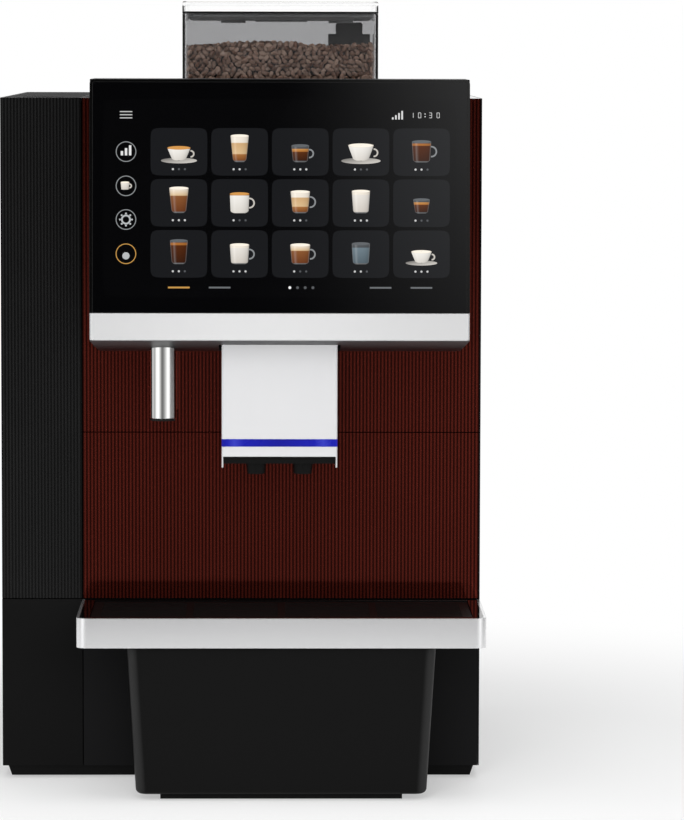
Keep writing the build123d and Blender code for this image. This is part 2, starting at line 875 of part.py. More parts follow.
# Rail for the spout, fixed on the panel inside the head
rail_low = chin_foot + head_wall + 1
rail_high = cover_top + spout_rise + 12
with BuildPart() as spout_rail:
    slab(
        (head_mid - rail_width / 2, head_mid + rail_width / 2),
        (rail_y[1], rail_y[0]),
        (rail_low, rail_high),
    )
    chamfer(spout_rail.edges().filter_by(Axis.Z).group_by(Axis.Y)[0], 2)
spout_rail.part.label = "spout_rail"
export_step(spout_rail.part, "parts/spout_rail.step")

# Drip tray: a basin inside a glossy frame, with channels for the arms that carry it
tray_left = seam
tray_right = right
tray_front = ahead(tray_reach)
tray_foot = tray_top - tray_band_height
tray_back = front - running_gap
pocket = (
    (tray_left + tray_rim, tray_right - tray_rim),
    (tray_front + tray_rim - 1.5, tray_back - tray_rear_rim),
)
frame_x = (tray_left + tray_band_wall, tray_right - tray_band_wall)
frame_y = (tray_front + tray_band_wall, tray_back)
frame_corner = tray_corner - tray_band_wall
with BuildPart() as drip_tray:
    front_rounded(frame_x, frame_y, (tray_foot, tray_top), frame_corner)
    slab(*pocket, (tray_foot + basin_floor, tray_top), Mode.SUBTRACT)
    for arm_x in arm_centres:
        slab(
            (arm_x - arm_width / 2 - running_gap, arm_x + arm_width / 2 + running_gap),
            (ahead(arm_reach) - 1, tray_back),
            (tray_foot, tray_top - tray_plate),
            Mode.SUBTRACT,
        )
drip_tray.part.label = "drip_tray"
export_step(drip_tray.part, "parts/drip_tray.step")

# Silver band round the tray's front and sides
with BuildPart() as tray_band:
    front_rounded((tray_left, tray_right), (tray_front, tray_back), (tray_foot, tray_top), tray_corner)
    front_rounded(frame_x, frame_y, (tray_foot, tray_top), frame_corner, Mode.SUBTRACT)
tray_band.part.label = "tray_band"
export_step(tray_band.part, "parts/tray_band.step")

# Slotted grille that lies in the tray's frame on four short legs
grille_x = (pocket[0][0] + running_gap, pocket[0][1] - running_gap)
grille_y = (pocket[1][0] + running_gap, pocket[1][1] - running_gap)
grille_low = tray_top - grille_thickness - grille_sink
slot_step = (grille_x[1] - grille_x[0] - 2 * grille_margin + grille_rib) / grille_columns
slot_rows = int((grille_y[1] - grille_y[0] - 2 * grille_margin) / grille_slot_pitch)
with BuildPart() as drip_grille:
    slab(grille_x, grille_y, (grille_low, grille_low + grille_thickness))
    with BuildSketch(Plane.XY.offset(grille_low)) as slots:
        with Locations(((grille_x[0] + grille_x[1]) / 2, (grille_y[0] + grille_y[1]) / 2)):
            with GridLocations(slot_step, grille_slot_pitch, grille_columns, slot_rows):
                Rectangle(slot_step - grille_rib, grille_slot)
    extrude(slots.sketch, amount=grille_thickness, mode=Mode.SUBTRACT)
    # Legs that stand on the basin's floor
    for corner_x in (grille_x[0] + 6, grille_x[1] - 6):
        for corner_y in (grille_y[0] + 3, grille_y[1] - 3):
            post(corner_x, corner_y, (tray_foot + basin_floor + running_gap, grille_low), grille_leg_radius)
drip_grille.part.label = "drip_grille"
export_step(drip_grille.part, "parts/drip_grille.step")

# Arms that carry the tray and rails that guide the drawer
drawer_half = drawer_body_width / 2
runner_x = drawer_half + running_gap
with BuildPart() as slide_rails:
    for arm_x in arm_centres:
        arm_sides = (arm_x - arm_width / 2, arm_x + arm_width / 2)
        slab(arm_sides, (ahead(arm_reach), front_sheet), (arm_low, arm_high))
        slab(arm_sides, (front + skin, front + arm_root), (plinth_height, deck_height - sheet))
    for side in (-1, 1):
        runner_edge = main_mid + side * runner_x
        outer_edge = runner_edge + side * rail_plate
        inner_edge = runner_edge - side * runner_width
        slab(
            (min(outer_edge, inner_edge), max(outer_edge, inner_edge)),
            (front + skin + 1, front + drawer_body_depth),
            (plinth_height, drawer_body_foot - running_gap),
        )
        slab(
            (min(outer_edge, runner_edge), max(outer_edge, runner_edge)),
            (front + skin + 1, front + drawer_body_depth),
            (plinth_height, plinth_height + rail_lip),
        )
slide_rails.part.label = "slide_rails"
export_step(slide_rails.part, "parts/slide_rails.step")

# Waste drawer: a tapered front moulding ahead of the body, with a box behind it
drawer_top = tray_foot - drawer_gap
drawer_face = ahead(drawer_reach)
drawer_rear = front + drawer_body_depth - 12
skid_front = ahead(drawer_foot_reach) + skid_setback
with BuildPart() as waste_drawer:
    with BuildSketch(Plane.XY.offset(drawer_top)) as upper:
        with Locations((main_mid, (drawer_face + front - 1) / 2)):
            Rectangle(drawer_top_width, front - 1 - drawer_face)
        fillet(upper.vertices().group_by(Axis.Y)[0], drawer_corner)
    with BuildSketch(Plane.XY.offset(drawer_foot)) as lower:
        with Locations((main_mid, (ahead(drawer_foot_reach) + front - 1) / 2)):
            Rectangle(drawer_foot_width, front - 1 - ahead(drawer_foot_reach))
        fillet(lower.vertices().group_by(Axis.Y)[0], drawer_corner)
    loft([upper.sketch, lower.sketch])
    fillet(waste_drawer.edges().group_by(Axis.Z)[0].group_by(Axis.Y)[:-1], drawer_foot_corner)
    slab(
        (main_mid - drawer_half, main_mid + drawer_half),
        (front - 2, drawer_rear),
        (drawer_body_foot, drawer_top - 4),
    )
    # Hollow for the grounds bin, open at the top
    slab(
        (main_mid - drawer_half + drawer_wall, main_mid + drawer_half - drawer_wall),
        (ahead(drawer_foot_reach) + 3 * drawer_wall, drawer_rear - drawer_wall),
        (drawer_body_foot + drawer_wall, drawer_top),
        Mode.SUBTRACT,
    )
    # Glide strip under the front
    slab(
        (main_mid - skid_width / 2, main_mid + skid_width / 2),
        (skid_front, skid_front + skid_depth),
        (skid_lift, drawer_foot + drawer_foot_corner),
    )
waste_drawer.part.label = "waste_drawer"
export_step(waste_drawer.part, "parts/waste_drawer.step")

# Bin for the spent coffee, which lifts out of the open drawer
bin_half = drawer_half - drawer_wall - bin_gap
bin_x = (main_mid - bin_half, main_mid + bin_half)
bin_y = (ahead(drawer_foot_reach) + 3 * drawer_wall + bin_gap, drawer_rear - drawer_wall - bin_gap)
bin_foot = drawer_body_foot + drawer_wall
bin_top = drawer_top - bin_drop
with BuildPart() as grounds_bin:
    rounded(bin_x, bin_y, (bin_foot, bin_top), bin_corner)
    rounded(
        (bin_x[0] + bin_wall, bin_x[1] - bin_wall),
        (bin_y[0] + bin_wall, bin_y[1] - bin_wall),
        (bin_foot + bin_wall, bin_top),
        bin_corner - bin_wall,
        Mode.SUBTRACT,
    )
grounds_bin.part.label = "grounds_bin"
export_step(grounds_bin.part, "parts/grounds_bin.step")

# Hopper: black base with the gate's slot, clear walls above it
hopper_x = (hopper_mid - hopper_width / 2, hopper_mid + hopper_width / 2)
hopper_y = (grinder_y - hopper_depth / 2, grinder_y + hopper_depth / 2)
base_top = body_height + hopper_base_height
gate_low = body_height + gate_rise
gate_high = gate_low + gate_thickness
floor_top = base_top + hopper_wall
tower_y = (grinder_y - tower_depth / 2, grinder_y + tower_depth / 2)
shoulder_x = (tower_x - shoulder_width / 2, tower_x + shoulder_width / 2)
with BuildPart() as hopper_base:
    rounded(
        (hopper_x[0] + 2, hopper_x[1] - 2),
        (hopper_y[0] + 2, hopper_y[1] - 2),
        (body_height, base_top),
        hopper_corner - 2,
    )
    post(hopper_mid, grinder_y, (body_height, base_top), throat_radius, Mode.SUBTRACT)
    slab(
        (hopper_mid - throat_radius - gate_travel - 7, hopper_x[1]),
        (grinder_y - gate_width / 2 - running_gap, grinder_y + gate_width / 2 + running_gap),
        (gate_low - running_gap, gate_high + running_gap),
        Mode.SUBTRACT,
    )
    # Guide tower for the gate, which stands up through the hopper's floor
    slab((tower_x - tower_width / 2, tower_x + tower_width / 2), tower_y, (base_top, tower_top))
    chamfer(hopper_base.edges().group_by(Axis.Z)[-1], 1.5)
    slab(shoulder_x, tower_y, (base_top, shoulder_height))
hopper_base.part.label = "hopper_base"
export_step(hopper_base.part, "parts/hopper_base.step")

with BuildPart() as hopper_body:
    rounded(hopper_x, hopper_y, (base_top, hopper_rim), hopper_corner)
    rounded(
        (hopper_x[0] + hopper_wall, hopper_x[1] - hopper_wall),
        (hopper_y[0] + hopper_wall, hopper_y[1] - hopper_wall),
        (floor_top, hopper_rim),
        hopper_corner - hopper_wall,
        Mode.SUBTRACT,
    )
    post(hopper_mid, grinder_y, (base_top, floor_top), throat_radius, Mode.SUBTRACT)
    slab(shoulder_x, tower_y, (base_top, floor_top), Mode.SUBTRACT)
hopper_body.part.label = "hopper_body"
export_step(hopper_body.part, "parts/hopper_body.step")

# Beans: one heap with a gently uneven top
bean_x = (hopper_x[0] + hopper_wall + running_gap, hopper_x[1] - hopper_wall - running_gap)
bean_y = (hopper_y[0] + hopper_wall + running_gap, hopper_y[1] - hopper_wall - running_gap)
with BuildPart() as coffee_beans:
    with BuildSketch(Plane.XZ.offset(-bean_y[1])) as heap:
        with BuildLine():
            Spline(
                (bean_x[0], beans_level - 1.5),
                (bean_x[0] + hopper_width * 0.18, beans_level + 0.5),
                (bean_x[0] + hopper_width * 0.38, beans_level - 1.5),
                (bean_x[0] + hopper_width * 0.62, beans_level + 1.0),
                (bean_x[1], beans_level - 3.5),
            )
            Line((bean_x[1], beans_level - 3.5), (bean_x[1], floor_top))
            Line((bean_x[1], floor_top), (bean_x[0], floor_top))
            Line((bean_x[0], floor_top), (bean_x[0], beans_level - 1.5))
        make_face()
    extrude(heap.sketch, amount=bean_y[1] - bean_y[0])
    fillet(coffee_beans.edges().filter_by(Axis.Z), hopper_corner - hopper_wall)
    slab(shoulder_x, tower_y, (floor_top, tower_top), Mode.SUBTRACT)
coffee_beans.part.label = "coffee_beans"
export_step(coffee_beans.part, "parts/coffee_beans.step")

# Gate plate that shuts the throat, with a finger tab outside the base
tab_x = hopper_x[1] + gate_tab_reach
tab_y = (grinder_y - gate_tab_width / 2, grinder_y + gate_tab_width / 2)
with BuildPart() as bean_gate:
    slab(
        (hopper_mid - throat_radius - gate_travel - 4, hopper_x[1] - 2),
        (grinder_y - gate_width / 2, grinder_y + gate_width / 2),
        (gate_low, gate_high),
    )
    slab((hopper_x[1] - 2, tab_x), tab_y, (gate_low, gate_high))
    slab((tab_x - 4, tab_x), tab_y, (gate_low, gate_high + 4))
    post(hopper_mid, grinder_y, (gate_low, gate_high), throat_radius, Mode.SUBTRACT)
bean_gate.part.label = "bean_gate"
export_step(bean_gate.part, "parts/bean_gate.step")

# Hopper lid: clear cap on a black seal, with a dark liner below
seal_low = hopper_rim + running_gap
lid_low = hopper_rim + seal_height
lid_top = lid_low + lid_height
with BuildPart() as lid_seal:
    rounded(hopper_x, hopper_y, (seal_low, lid_low), hopper_corner)
    rounded(
        (hopper_x[0] + seal_width, hopper_x[1] - seal_width),
        (hopper_y[0] + seal_width, hopper_y[1] - seal_width),
        (seal_low, lid_low),
        3,
        Mode.SUBTRACT,
    )
lid_seal.part.label = "lid_seal"
export_step(lid_seal.part, "parts/lid_seal.step")

with BuildPart() as hopper_lid:
    rounded(hopper_x, hopper_y, (lid_low, lid_top), hopper_corner)
    chamfer(hopper_lid.edges().group_by(Axis.Z)[-1], 0.8)
    rounded(
        (hopper_x[0] + lid_wall, hopper_x[1] - lid_wall),
        (hopper_y[0] + lid_wall, hopper_y[1] - lid_wall),
        (lid_low, lid_top - lid_wall),
        hopper_corner - lid_wall,
        Mode.SUBTRACT,
    )
hopper_lid.part.label = "hopper_lid"
export_step(hopper_lid.part, "parts/hopper_lid.step")

liner_low = lid_low - liner_depth
with BuildPart() as lid_liner:
    liner_half = hopper_width / 2 - hopper_wall - 1.2
    liner_depth_half = hopper_depth / 2 - hopper_wall - 1.2
    rounded(
        (hopper_mid - liner_half, hopper_mid + liner_half),
        (grinder_y - liner_depth_half, grinder_y + liner_depth_half),
        (liner_low, seal_low),
        5,
    )
    chamfer(lid_liner.edges().group_by(Axis.Z)[0], 3)
    rounded(
        (hopper_x[0] + seal_width + 0.2, hopper_x[1] - seal_width - 0.2),
        (hopper_y[0] + seal_width + 0.2, hopper_y[1] - seal_width - 0.2),
        (seal_low, lid_low),
        3,
    )
    # Two round studs and a middle tab under the liner
    for stud_x in (hopper_mid - 42, hopper_mid + 54):
        post(stud_x, hopper_y[0] + 24, (liner_low - stud_height, liner_low), stud_radius)
    slab(
        (hopper_mid - 22, hopper_mid + 24),
        (hopper_y[0] + 12, hopper_y[0] + 16),
        (liner_low - 1.5, liner_low),
    )
lid_liner.part.label = "lid_liner"
export_step(lid_liner.part, "parts/lid_liner.step")

# Grinder under the hopper: housing, fixed upper burr, turning lower burr and motor
housing_foot = cover_low - grinder_height
bore_radius = grinder_radius - grinder_wall
burr_plane = housing_foot + 40
burr_seat = burr_plane + burr_height + 2
with BuildPart() as grinder_housing:
    post(hopper_mid, grinder_y, (housing_foot, cover_low), grinder_radius)
    post(hopper_mid, grinder_y, (housing_foot + grinder_wall, burr_seat), bore_radius, Mode.SUBTRACT)
    post(hopper_mid, grinder_y, (housing_foot, cover_low), throat_radius, Mode.SUBTRACT)
    slab(
        (hopper_mid - chute_width / 2 + chute_wall, hopper_mid + chute_width / 2 - chute_wall),
        (grinder_y - grinder_radius - 1, grinder_y - bore_radius + 6),
        (housing_foot + grinder_wall + 2, housing_foot + grinder_wall + 22),
        Mode.SUBTRACT,
    )
grinder_housing.part.label = "grinder_housing"
export_step(grinder_housing.part, "parts/grinder_housing.step")

upper_low = burr_plane + burr_gap / 2
with BuildPart() as upper_burr:
    post(hopper_mid, grinder_y, (upper_low, burr_seat), bore_radius)
    with BuildSketch(Plane.XY.offset(upper_low)) as mouth:
        with Locations((hopper_mid, grinder_y)):
            Circle(burr_radius)
    extrude(mouth.sketch, amount=burr_height + 2, taper=burr_taper, mode=Mode.SUBTRACT)
    post(hopper_mid, grinder_y, (upper_low, burr_seat), throat_radius, Mode.SUBTRACT)
upper_burr.part.label = "upper_burr"
export_step(upper_burr.part, "parts/upper_burr.step")

motor_top = housing_foot - 1
burr_slope = math.tan(math.radians(burr_taper))
cone_height = burr_height * 1.6
cone_radius = burr_radius - burr_gap / 2 + burr_height * burr_slope
with BuildPart() as lower_burr:
    with BuildSketch(Plane.XY.offset(burr_plane - burr_height)) as cone_foot:
        with Locations((hopper_mid, grinder_y)):
            Circle(cone_radius)
    extrude(cone_foot.sketch, amount=cone_height, taper=burr_taper)
    # Vanes that sweep the ground coffee round to the outlet
    with Locations((hopper_mid, grinder_y, burr_plane - burr_height - 6)):
        with PolarLocations(cone_radius - 2, 8):
            Box(8, 2.5, 8, align=(Align.CENTER, Align.CENTER, Align.MIN))
    post(hopper_mid, grinder_y, (burr_plane - burr_height - 6, burr_plane), cone_radius - 4)
    post(hopper_mid, grinder_y, (motor_top - motor_height + 12, burr_plane), shaft_radius)
lower_burr.part.label = "lower_burr"
export_step(lower_burr.part, "parts/lower_burr.step")

with BuildPart() as grinder_motor:
    post(hopper_mid, grinder_y, (motor_top - motor_height, motor_top), motor_radius)
    post(hopper_mid, grinder_y, (motor_top - 1, housing_foot), motor_radius - 6)
    post(
        hopper_mid,
        grinder_y,
        (motor_top - motor_height + 10, housing_foot),
        shaft_radius + bore_gap,
        Mode.SUBTRACT,
    )
grinder_motor.part.label = "grinder_motor"
export_step(grinder_motor.part, "parts/grinder_motor.step")

# Chute from the grinder's outlet down to the brewing chamber
chute_x = (hopper_mid - chute_width / 2, hopper_mid + chute_width / 2)
chute_start = (grinder_y - grinder_radius + 3, housing_foot + grinder_wall + 26)
chute_end = (brew_y + cylinder_radius - 1, chute_start[1] - chute_drop)
chute_foot = chute_end[1] - chute_depth + 6


def chute_profile(wall):
    """The sloping duct's side outline in Y and Z, this far inside its walls."""
    Polyline(
        (chute_start[0], chute_start[1] - wall),
        (chute_start[0], chute_start[1] - chute_depth + wall),
        (chute_end[0] + 8, chute_foot + wall),
        (chute_end[0] - wall, chute_foot + wall),
        (chute_end[0] - wall, chute_end[1] - wall),
        close=True,
    )


with BuildPart() as grounds_chute:
    with BuildSketch(Plane.YZ.offset(chute_x[0])):
        with BuildLine():
            chute_profile(0)
        make_face()
    extrude(amount=chute_width)
    with BuildSketch(Plane.YZ.offset(chute_x[0] + chute_wall)) as duct:
        with BuildLine():
            chute_profile(chute_wall)
        make_face()
    extrude(duct.sketch, amount=chute_width - 2 * chute_wall, mode=Mode.SUBTRACT)
    # Mouth at the grinder, mouth over the chamber
    slab(
        (chute_x[0] + chute_wall, chute_x[1] - chute_wall),
        (chute_start[0] - 4, chute_start[0] + 2),
        (chute_start[1] - chute_depth + chute_wall, chute_start[1] - chute_wall),
        Mode.SUBTRACT,
    )
    slab(
        (chute_x[0] + chute_wall, chute_x[1] - chute_wall),
        (chute_end[0] - 2 * chute_wall, chute_end[0] + 5),
        (chute_foot - 1, chute_foot + chute_wall + 1),
        Mode.SUBTRACT,
    )
    post(hopper_mid, grinder_y, (chute_foot, chute_start[1] + 5), grinder_radius, Mode.SUBTRACT)
grounds_chute.part.label = "grounds_chute"
export_step(grounds_chute.part, "parts/grounds_chute.step")

# Brewing unit: frame on the bulkhead, chamber, piston on its screw, and gear motor
screw_x = hopper_mid + screw_offset
frame_left = screw_x - 24
frame_right = screw_x + 24
chamber_top = brew_shelf_height + cylinder_height
with BuildPart() as brew_frame:
    slab((frame_left, frame_right), (bulkhead - 6, bulkhead), (deck_height, brew_top_shelf + 10))
    slab(
        (frame_left, hopper_mid + cylinder_radius + 4),
        (brew_y - cylinder_radius - 4, bulkhead),
        (brew_shelf_height - brew_shelf_thickness, brew_shelf_height),
    )
    slab(
        (frame_left, frame_right),
        (brew_y - 24, bulkhead),
        (brew_top_shelf, brew_top_shelf + brew_shelf_thickness),
    )
    post(
        screw_x,
        brew_y,
        (brew_top_shelf, brew_top_shelf + brew_shelf_thickness),
        screw_radius + bore_gap,
        Mode.SUBTRACT,
    )
    post(
        screw_x,
        brew_y,
        (brew_shelf_height - 6, brew_shelf_height),
        screw_radius + bore_gap,
        Mode.SUBTRACT,
    )
brew_frame.part.label = "brew_frame"
export_step(brew_frame.part, "parts/brew_frame.step")

with BuildPart() as brew_cylinder:
    post(hopper_mid, brew_y, (brew_shelf_height, chamber_top), cylinder_radius)
    post(
        hopper_mid,
        brew_y,
        (brew_shelf_height + cylinder_floor, chamber_top),
        cylinder_bore,
        Mode.SUBTRACT,
    )
    chamfer(brew_cylinder.edges().group_by(Axis.Z)[-1].sort_by(SortBy.RADIUS)[0], 1.5)
brew_cylinder.part.label = "brew_cylinder"
export_step(brew_cylinder.part, "parts/brew_cylinder.step")

piston_low = chamber_top + piston_clear
yoke_low = chamber_top + piston_travel + 1.5
with BuildPart() as brew_piston:
    post(hopper_mid, brew_y, (piston_low, piston_low + piston_height), cylinder_bore - bore_gap - 0.02)
    post(hopper_mid, brew_y, (piston_low, yoke_low + yoke_height), 9)
    slab(
        (screw_x - 12, hopper_mid + 9),
        (brew_y - 12, brew_y + 12),
        (yoke_low, yoke_low + yoke_height),
    )
    post(
        screw_x,
        brew_y,
        (yoke_low, yoke_low + yoke_height),
        screw_radius + bore_gap,
        Mode.SUBTRACT,
    )
brew_piston.part.label = "brew_piston"
export_step(brew_piston.part, "parts/brew_piston.step")

screw_span = (brew_shelf_height - 5.5, brew_top_shelf + brew_shelf_thickness + 12)
with BuildPart() as brew_screw:
    post(screw_x, brew_y, screw_span, screw_radius)
    post(screw_x, brew_y, (brew_top_shelf - 4, brew_top_shelf - 0.4), screw_radius + 3)
    post(screw_x, brew_y, (brew_shelf_height + 0.4, brew_shelf_height + 4), screw_radius + 3)
brew_screw.part.label = "brew_screw"
export_step(brew_screw.part, "parts/brew_screw.step")

motor_seat = brew_top_shelf + brew_shelf_thickness
with BuildPart() as brew_motor:
    post(screw_x, brew_y, (motor_seat, motor_seat + brew_motor_height), brew_motor_radius)
    slab((screw_x - 22, screw_x + 22), (brew_y - 20, brew_y + 20), (motor_seat, motor_seat + 5))
    post(screw_x, brew_y, (motor_seat, motor_seat + 14), screw_radius + bore_gap, Mode.SUBTRACT)
brew_motor.part.label = "brew_motor"
export_step(brew_motor.part, "parts/brew_motor.step")


def boiler(x, y, radius, height):
    """Adds an upright boiler with domed ends on a foot ring that stands on the deck."""
    with BuildSketch(Plane(origin=(x, y, deck_height), x_dir=(1, 0, 0), z_dir=(0, -1, 0))) as half:
        with BuildLine():
            Line((0, 0), (radius - 8, 0))
            Line((radius - 8, 0), (radius - 8, boiler_dome))
            Line((radius - 8, boiler_dome), (radius, boiler_dome + 4))
            Line((radius, boiler_dome + 4), (radius, height - boiler_dome))
            ThreePointArc(
                (radius, height - boiler_dome),
                (radius * 0.6, height - boiler_dome * 0.28),
                (0, height),
            )
            Line((0, height), (0, 0))
        make_face()
    revolve(half.sketch, axis=Axis((x, y, 0), (0, 0, 1)))


with BuildPart() as coffee_boiler:
    boiler(coffee_boiler_x, boiler_y, coffee_boiler_radius, coffee_boiler_height)
    post(
        coffee_boiler_x,
        boiler_y,
        (deck_height + coffee_boiler_height - 3, deck_height + coffee_boiler_height + stub_height),
        8,
    )
coffee_boiler.part.label = "coffee_boiler"
export_step(coffee_boiler.part, "parts/coffee_boiler.step")

with BuildPart() as water_boiler:
    boiler(water_boiler_x, boiler_y, water_boiler_radius, water_boiler_height)
    post(
        water_boiler_x,
        boiler_y,
        (deck_height + water_boiler_height - 3, deck_height + water_boiler_height + stub_height),
        8,
    )
water_boiler.part.label = "water_boiler"
export_step(water_boiler.part, "parts/water_boiler.step")

# Pump on its saddle in front of the bulkhead
with BuildPart() as pump:
    lying(pump_x, pump_y, pump_z, pump_radius)
    lying(pump_x, (pump_y[0] - 10, pump_y[1] + 10), pump_z, 6)
    saddle_z = (deck_height, pump_z - pump_radius / 2)
    slab((pump_x - 20, pump_x + 20), (pump_y[0] + 12, pump_y[1] - 12), saddle_z)
pump.part.label = "pump"
export_step(pump.part, "parts/pump.step")

# Control board on standoffs in front of the bulkhead
board_x = inner_right - 20 - board_width / 2
board_z = deck_height + board_lift
board_back = bulkhead - standoff
with BuildPart() as main_board:
    slab(
        (board_x - board_width / 2, board_x + board_width / 2),
        (board_back - board_thickness, board_back),
        (board_z, board_z + board_height),
    )
    for corner_x in (board_x - board_width / 2 + 6, board_x + board_width / 2 - 6):
        for corner_z in (board_z + 6, board_z + board_height - 6):
            lying(corner_x, (board_back, bulkhead), corner_z, 3)
    for row in range(4):
        slab(
            (board_x - 26 + 4 * row, board_x + 2 + 6 * row),
            (board_back - board_thickness - 12 + 2 * row, board_back - board_thickness),
            (board_z + 18 + 40 * row, board_z + 40 + 40 * row),
        )
main_board.part.label = "main_board"
export_step(main_board.part, "parts/main_board.step")

# Fan behind its grille in the rear panel
fan_y = (rear - sheet - fan_depth, rear - sheet)
with BuildPart() as fan_housing:
    slab(
        (fan_x - fan_size / 2, fan_x + fan_size / 2),
        fan_y,
        (fan_height - fan_size / 2, fan_height + fan_size / 2),
    )
    fillet(fan_housing.edges().filter_by(Axis.Y), 4)
    lying(fan_x, fan_y, fan_height, fan_bore_radius, Mode.SUBTRACT)
    # Motor mount held by three struts at the inner side
    lying(fan_x, (fan_y[0], fan_y[0] + 4), fan_height, fan_hub_radius)
    with BuildSketch(Plane.XZ.offset(-fan_y[0])) as struts:
        with Locations((fan_x, fan_height)):
            with PolarLocations(0, 3, start_angle=90):
                with Locations((fan_size / 4 - 1, 0)):
                    Rectangle(fan_size / 2 - 3, 5)
    extrude(struts.sketch, amount=-4)
    lying(fan_x, (fan_y[0] - 1, fan_y[0] + 5), fan_height, 3 + bore_gap, Mode.SUBTRACT)
fan_housing.part.label = "fan_housing"
export_step(fan_housing.part, "parts/fan_housing.step")

rotor_y = (fan_y[0] + 5, fan_y[1] - 3)
with BuildPart() as fan_rotor:
    lying(fan_x, rotor_y, fan_height, fan_hub_radius)
    lying(fan_x, (fan_y[0] + 0.5, rotor_y[0]), fan_height, 3)
    with Locations(Location((fan_x, (rotor_y[0] + rotor_y[1]) / 2, fan_height), (90, 0, 0))):
        with PolarLocations(fan_hub_radius - 2, fan_blades):
            with Locations(Location((0, 0, 0), (35, 0, 0))):
                Box(
                    fan_bore_radius - fan_hub_radius,
                    1.6,
                    16,
                    align=(Align.MIN, Align.CENTER, Align.CENTER),
                )
fan_rotor.part.label = "fan_rotor"
export_step(fan_rotor.part, "parts/fan_rotor.step")

# Power inlet module: a shrouded socket with three blades, and the frame of the mains
# switch beside it
rocker_width = switch_width - 5
rocker_height = switch_height - 6
pivot_y = rear - 6
inlet_z = (inlet_centre_height - inlet_height / 2, inlet_centre_height + inlet_height / 2)
switch_z = (inlet_centre_height - switch_height / 2, inlet_centre_height + switch_height / 2)
with BuildPart() as power_inlet:
    slab((inlet_x - inlet_width / 2, inlet_x + inlet_width / 2), (rear - inlet_depth, rear), inlet_z)
    slab((switch_x - switch_width / 2, switch_x + switch_width / 2), (rear - 16, rear), switch_z)
    slab(
        (inlet_x - inlet_width / 2 - 8, switch_x + switch_width / 2 + 4),
        (rear - sheet - 3, rear - sheet),
        (switch_z[0] - 3, switch_z[1] + 3),
    )
    slab(
        (inlet_x - 12, inlet_x + 12),
        (rear - inlet_depth + 7, rear),
        (inlet_z[0] + 1.8, inlet_z[1] - 1.8),
        Mode.SUBTRACT,
    )
    slab(
        (switch_x - rocker_width / 2 - running_gap, switch_x + rocker_width / 2 + running_gap),
        (rear - 12, rear),
        (switch_z[0] + 2, switch_z[1] - 2),
        Mode.SUBTRACT,
    )
    for blade_x, blade_z in ((-7, -2), (0, 2), (7, -2)):
        slab(
            (inlet_x + blade_x - 1, inlet_x + blade_x + 1),
            (rear - inlet_depth + 6, rear - 7),
            (inlet_centre_height + blade_z - 2, inlet_centre_height + blade_z + 2),
        )
power_inlet.part.label = "power_inlet"
export_step(power_inlet.part, "parts/power_inlet.step")

# Rocker of the mains switch, tilted to its lower side at rest
rocker_tip = rocker_height / 2 - 0.6
with BuildPart() as rocker_switch:
    with BuildSketch(Plane.YZ.offset(switch_x - rocker_width / 2)) as rocker_side:
        with BuildLine():
            Polyline(
                (pivot_y - 2.5, inlet_centre_height - 3),
                (pivot_y - 2.5, inlet_centre_height + 3),
                (rear - 5.2, inlet_centre_height + rocker_tip),
                (rear - 2.6, inlet_centre_height + rocker_tip),
                (rear - 2.4, inlet_centre_height),
                (rear + rocker_proud, inlet_centre_height - rocker_tip),
                (rear - 3.4, inlet_centre_height - rocker_tip),
                close=True,
            )
        make_face()
    extrude(rocker_side.sketch, amount=rocker_width)
rocker_switch.part.label = "rocker_switch"
export_step(rocker_switch.part, "parts/rocker_switch.step")

# Dock and valve seat at the foot of the column
dock_ends = (dock_y - dock_length / 2, dock_y + dock_length / 2)
tank_length = tank_y[1] - tank_y[0]
with BuildPart() as tank_dock:
    slab(tank_x, dock_ends, (shell_floor, shell_floor + dock_height))
    post(
        tank_mid_x,
        dock_y,
        (shell_floor + dock_seat, shell_floor + dock_height),
        tank_spout_radius + running_gap,
        Mode.SUBTRACT,
    )
    for share in (0.08, 0.42):
        post_y = tank_y[0] + tank_length * share
        post_ends = (post_y - dock_post / 2, post_y + dock_post / 2)
        slab(tank_x, post_ends, (shell_floor, tank_foot - running_gap))
    slab(tank_x, (dock_ends[1] - dock_length / 4, dock_ends[1]), (shell_floor, tank_foot - running_gap))
tank_dock.part.label = "tank_dock"
export_step(tank_dock.part, "parts/tank_dock.step")

# Water tank: a tall open box with a spigot in its floor, shut by its foot valve
tank_top = body_height - tank_lid_height - 3
with BuildPart() as water_tank:
    rounded(tank_x, tank_y, (tank_foot, tank_top), tank_corner)
    rounded(
        (tank_x[0] + tank_wall, tank_x[1] - tank_wall),
        (tank_y[0] + tank_wall, tank_y[1] - tank_wall),
        (tank_foot + tank_wall, tank_top),
        tank_corner - tank_wall,
        Mode.SUBTRACT,
    )
    spigot_low = shell_floor + tank_spout_lift
    post(tank_mid_x, dock_y, (spigot_low, tank_foot + tank_wall), tank_spout_radius)
    post(
        tank_mid_x,
        dock_y,
        (spigot_low + tank_valve_plate, tank_foot + tank_wall),
        tank_spout_radius - tank_spout_wall,
        Mode.SUBTRACT,
    )
water_tank.part.label = "water_tank"
export_step(water_tank.part, "parts/water_tank.step")

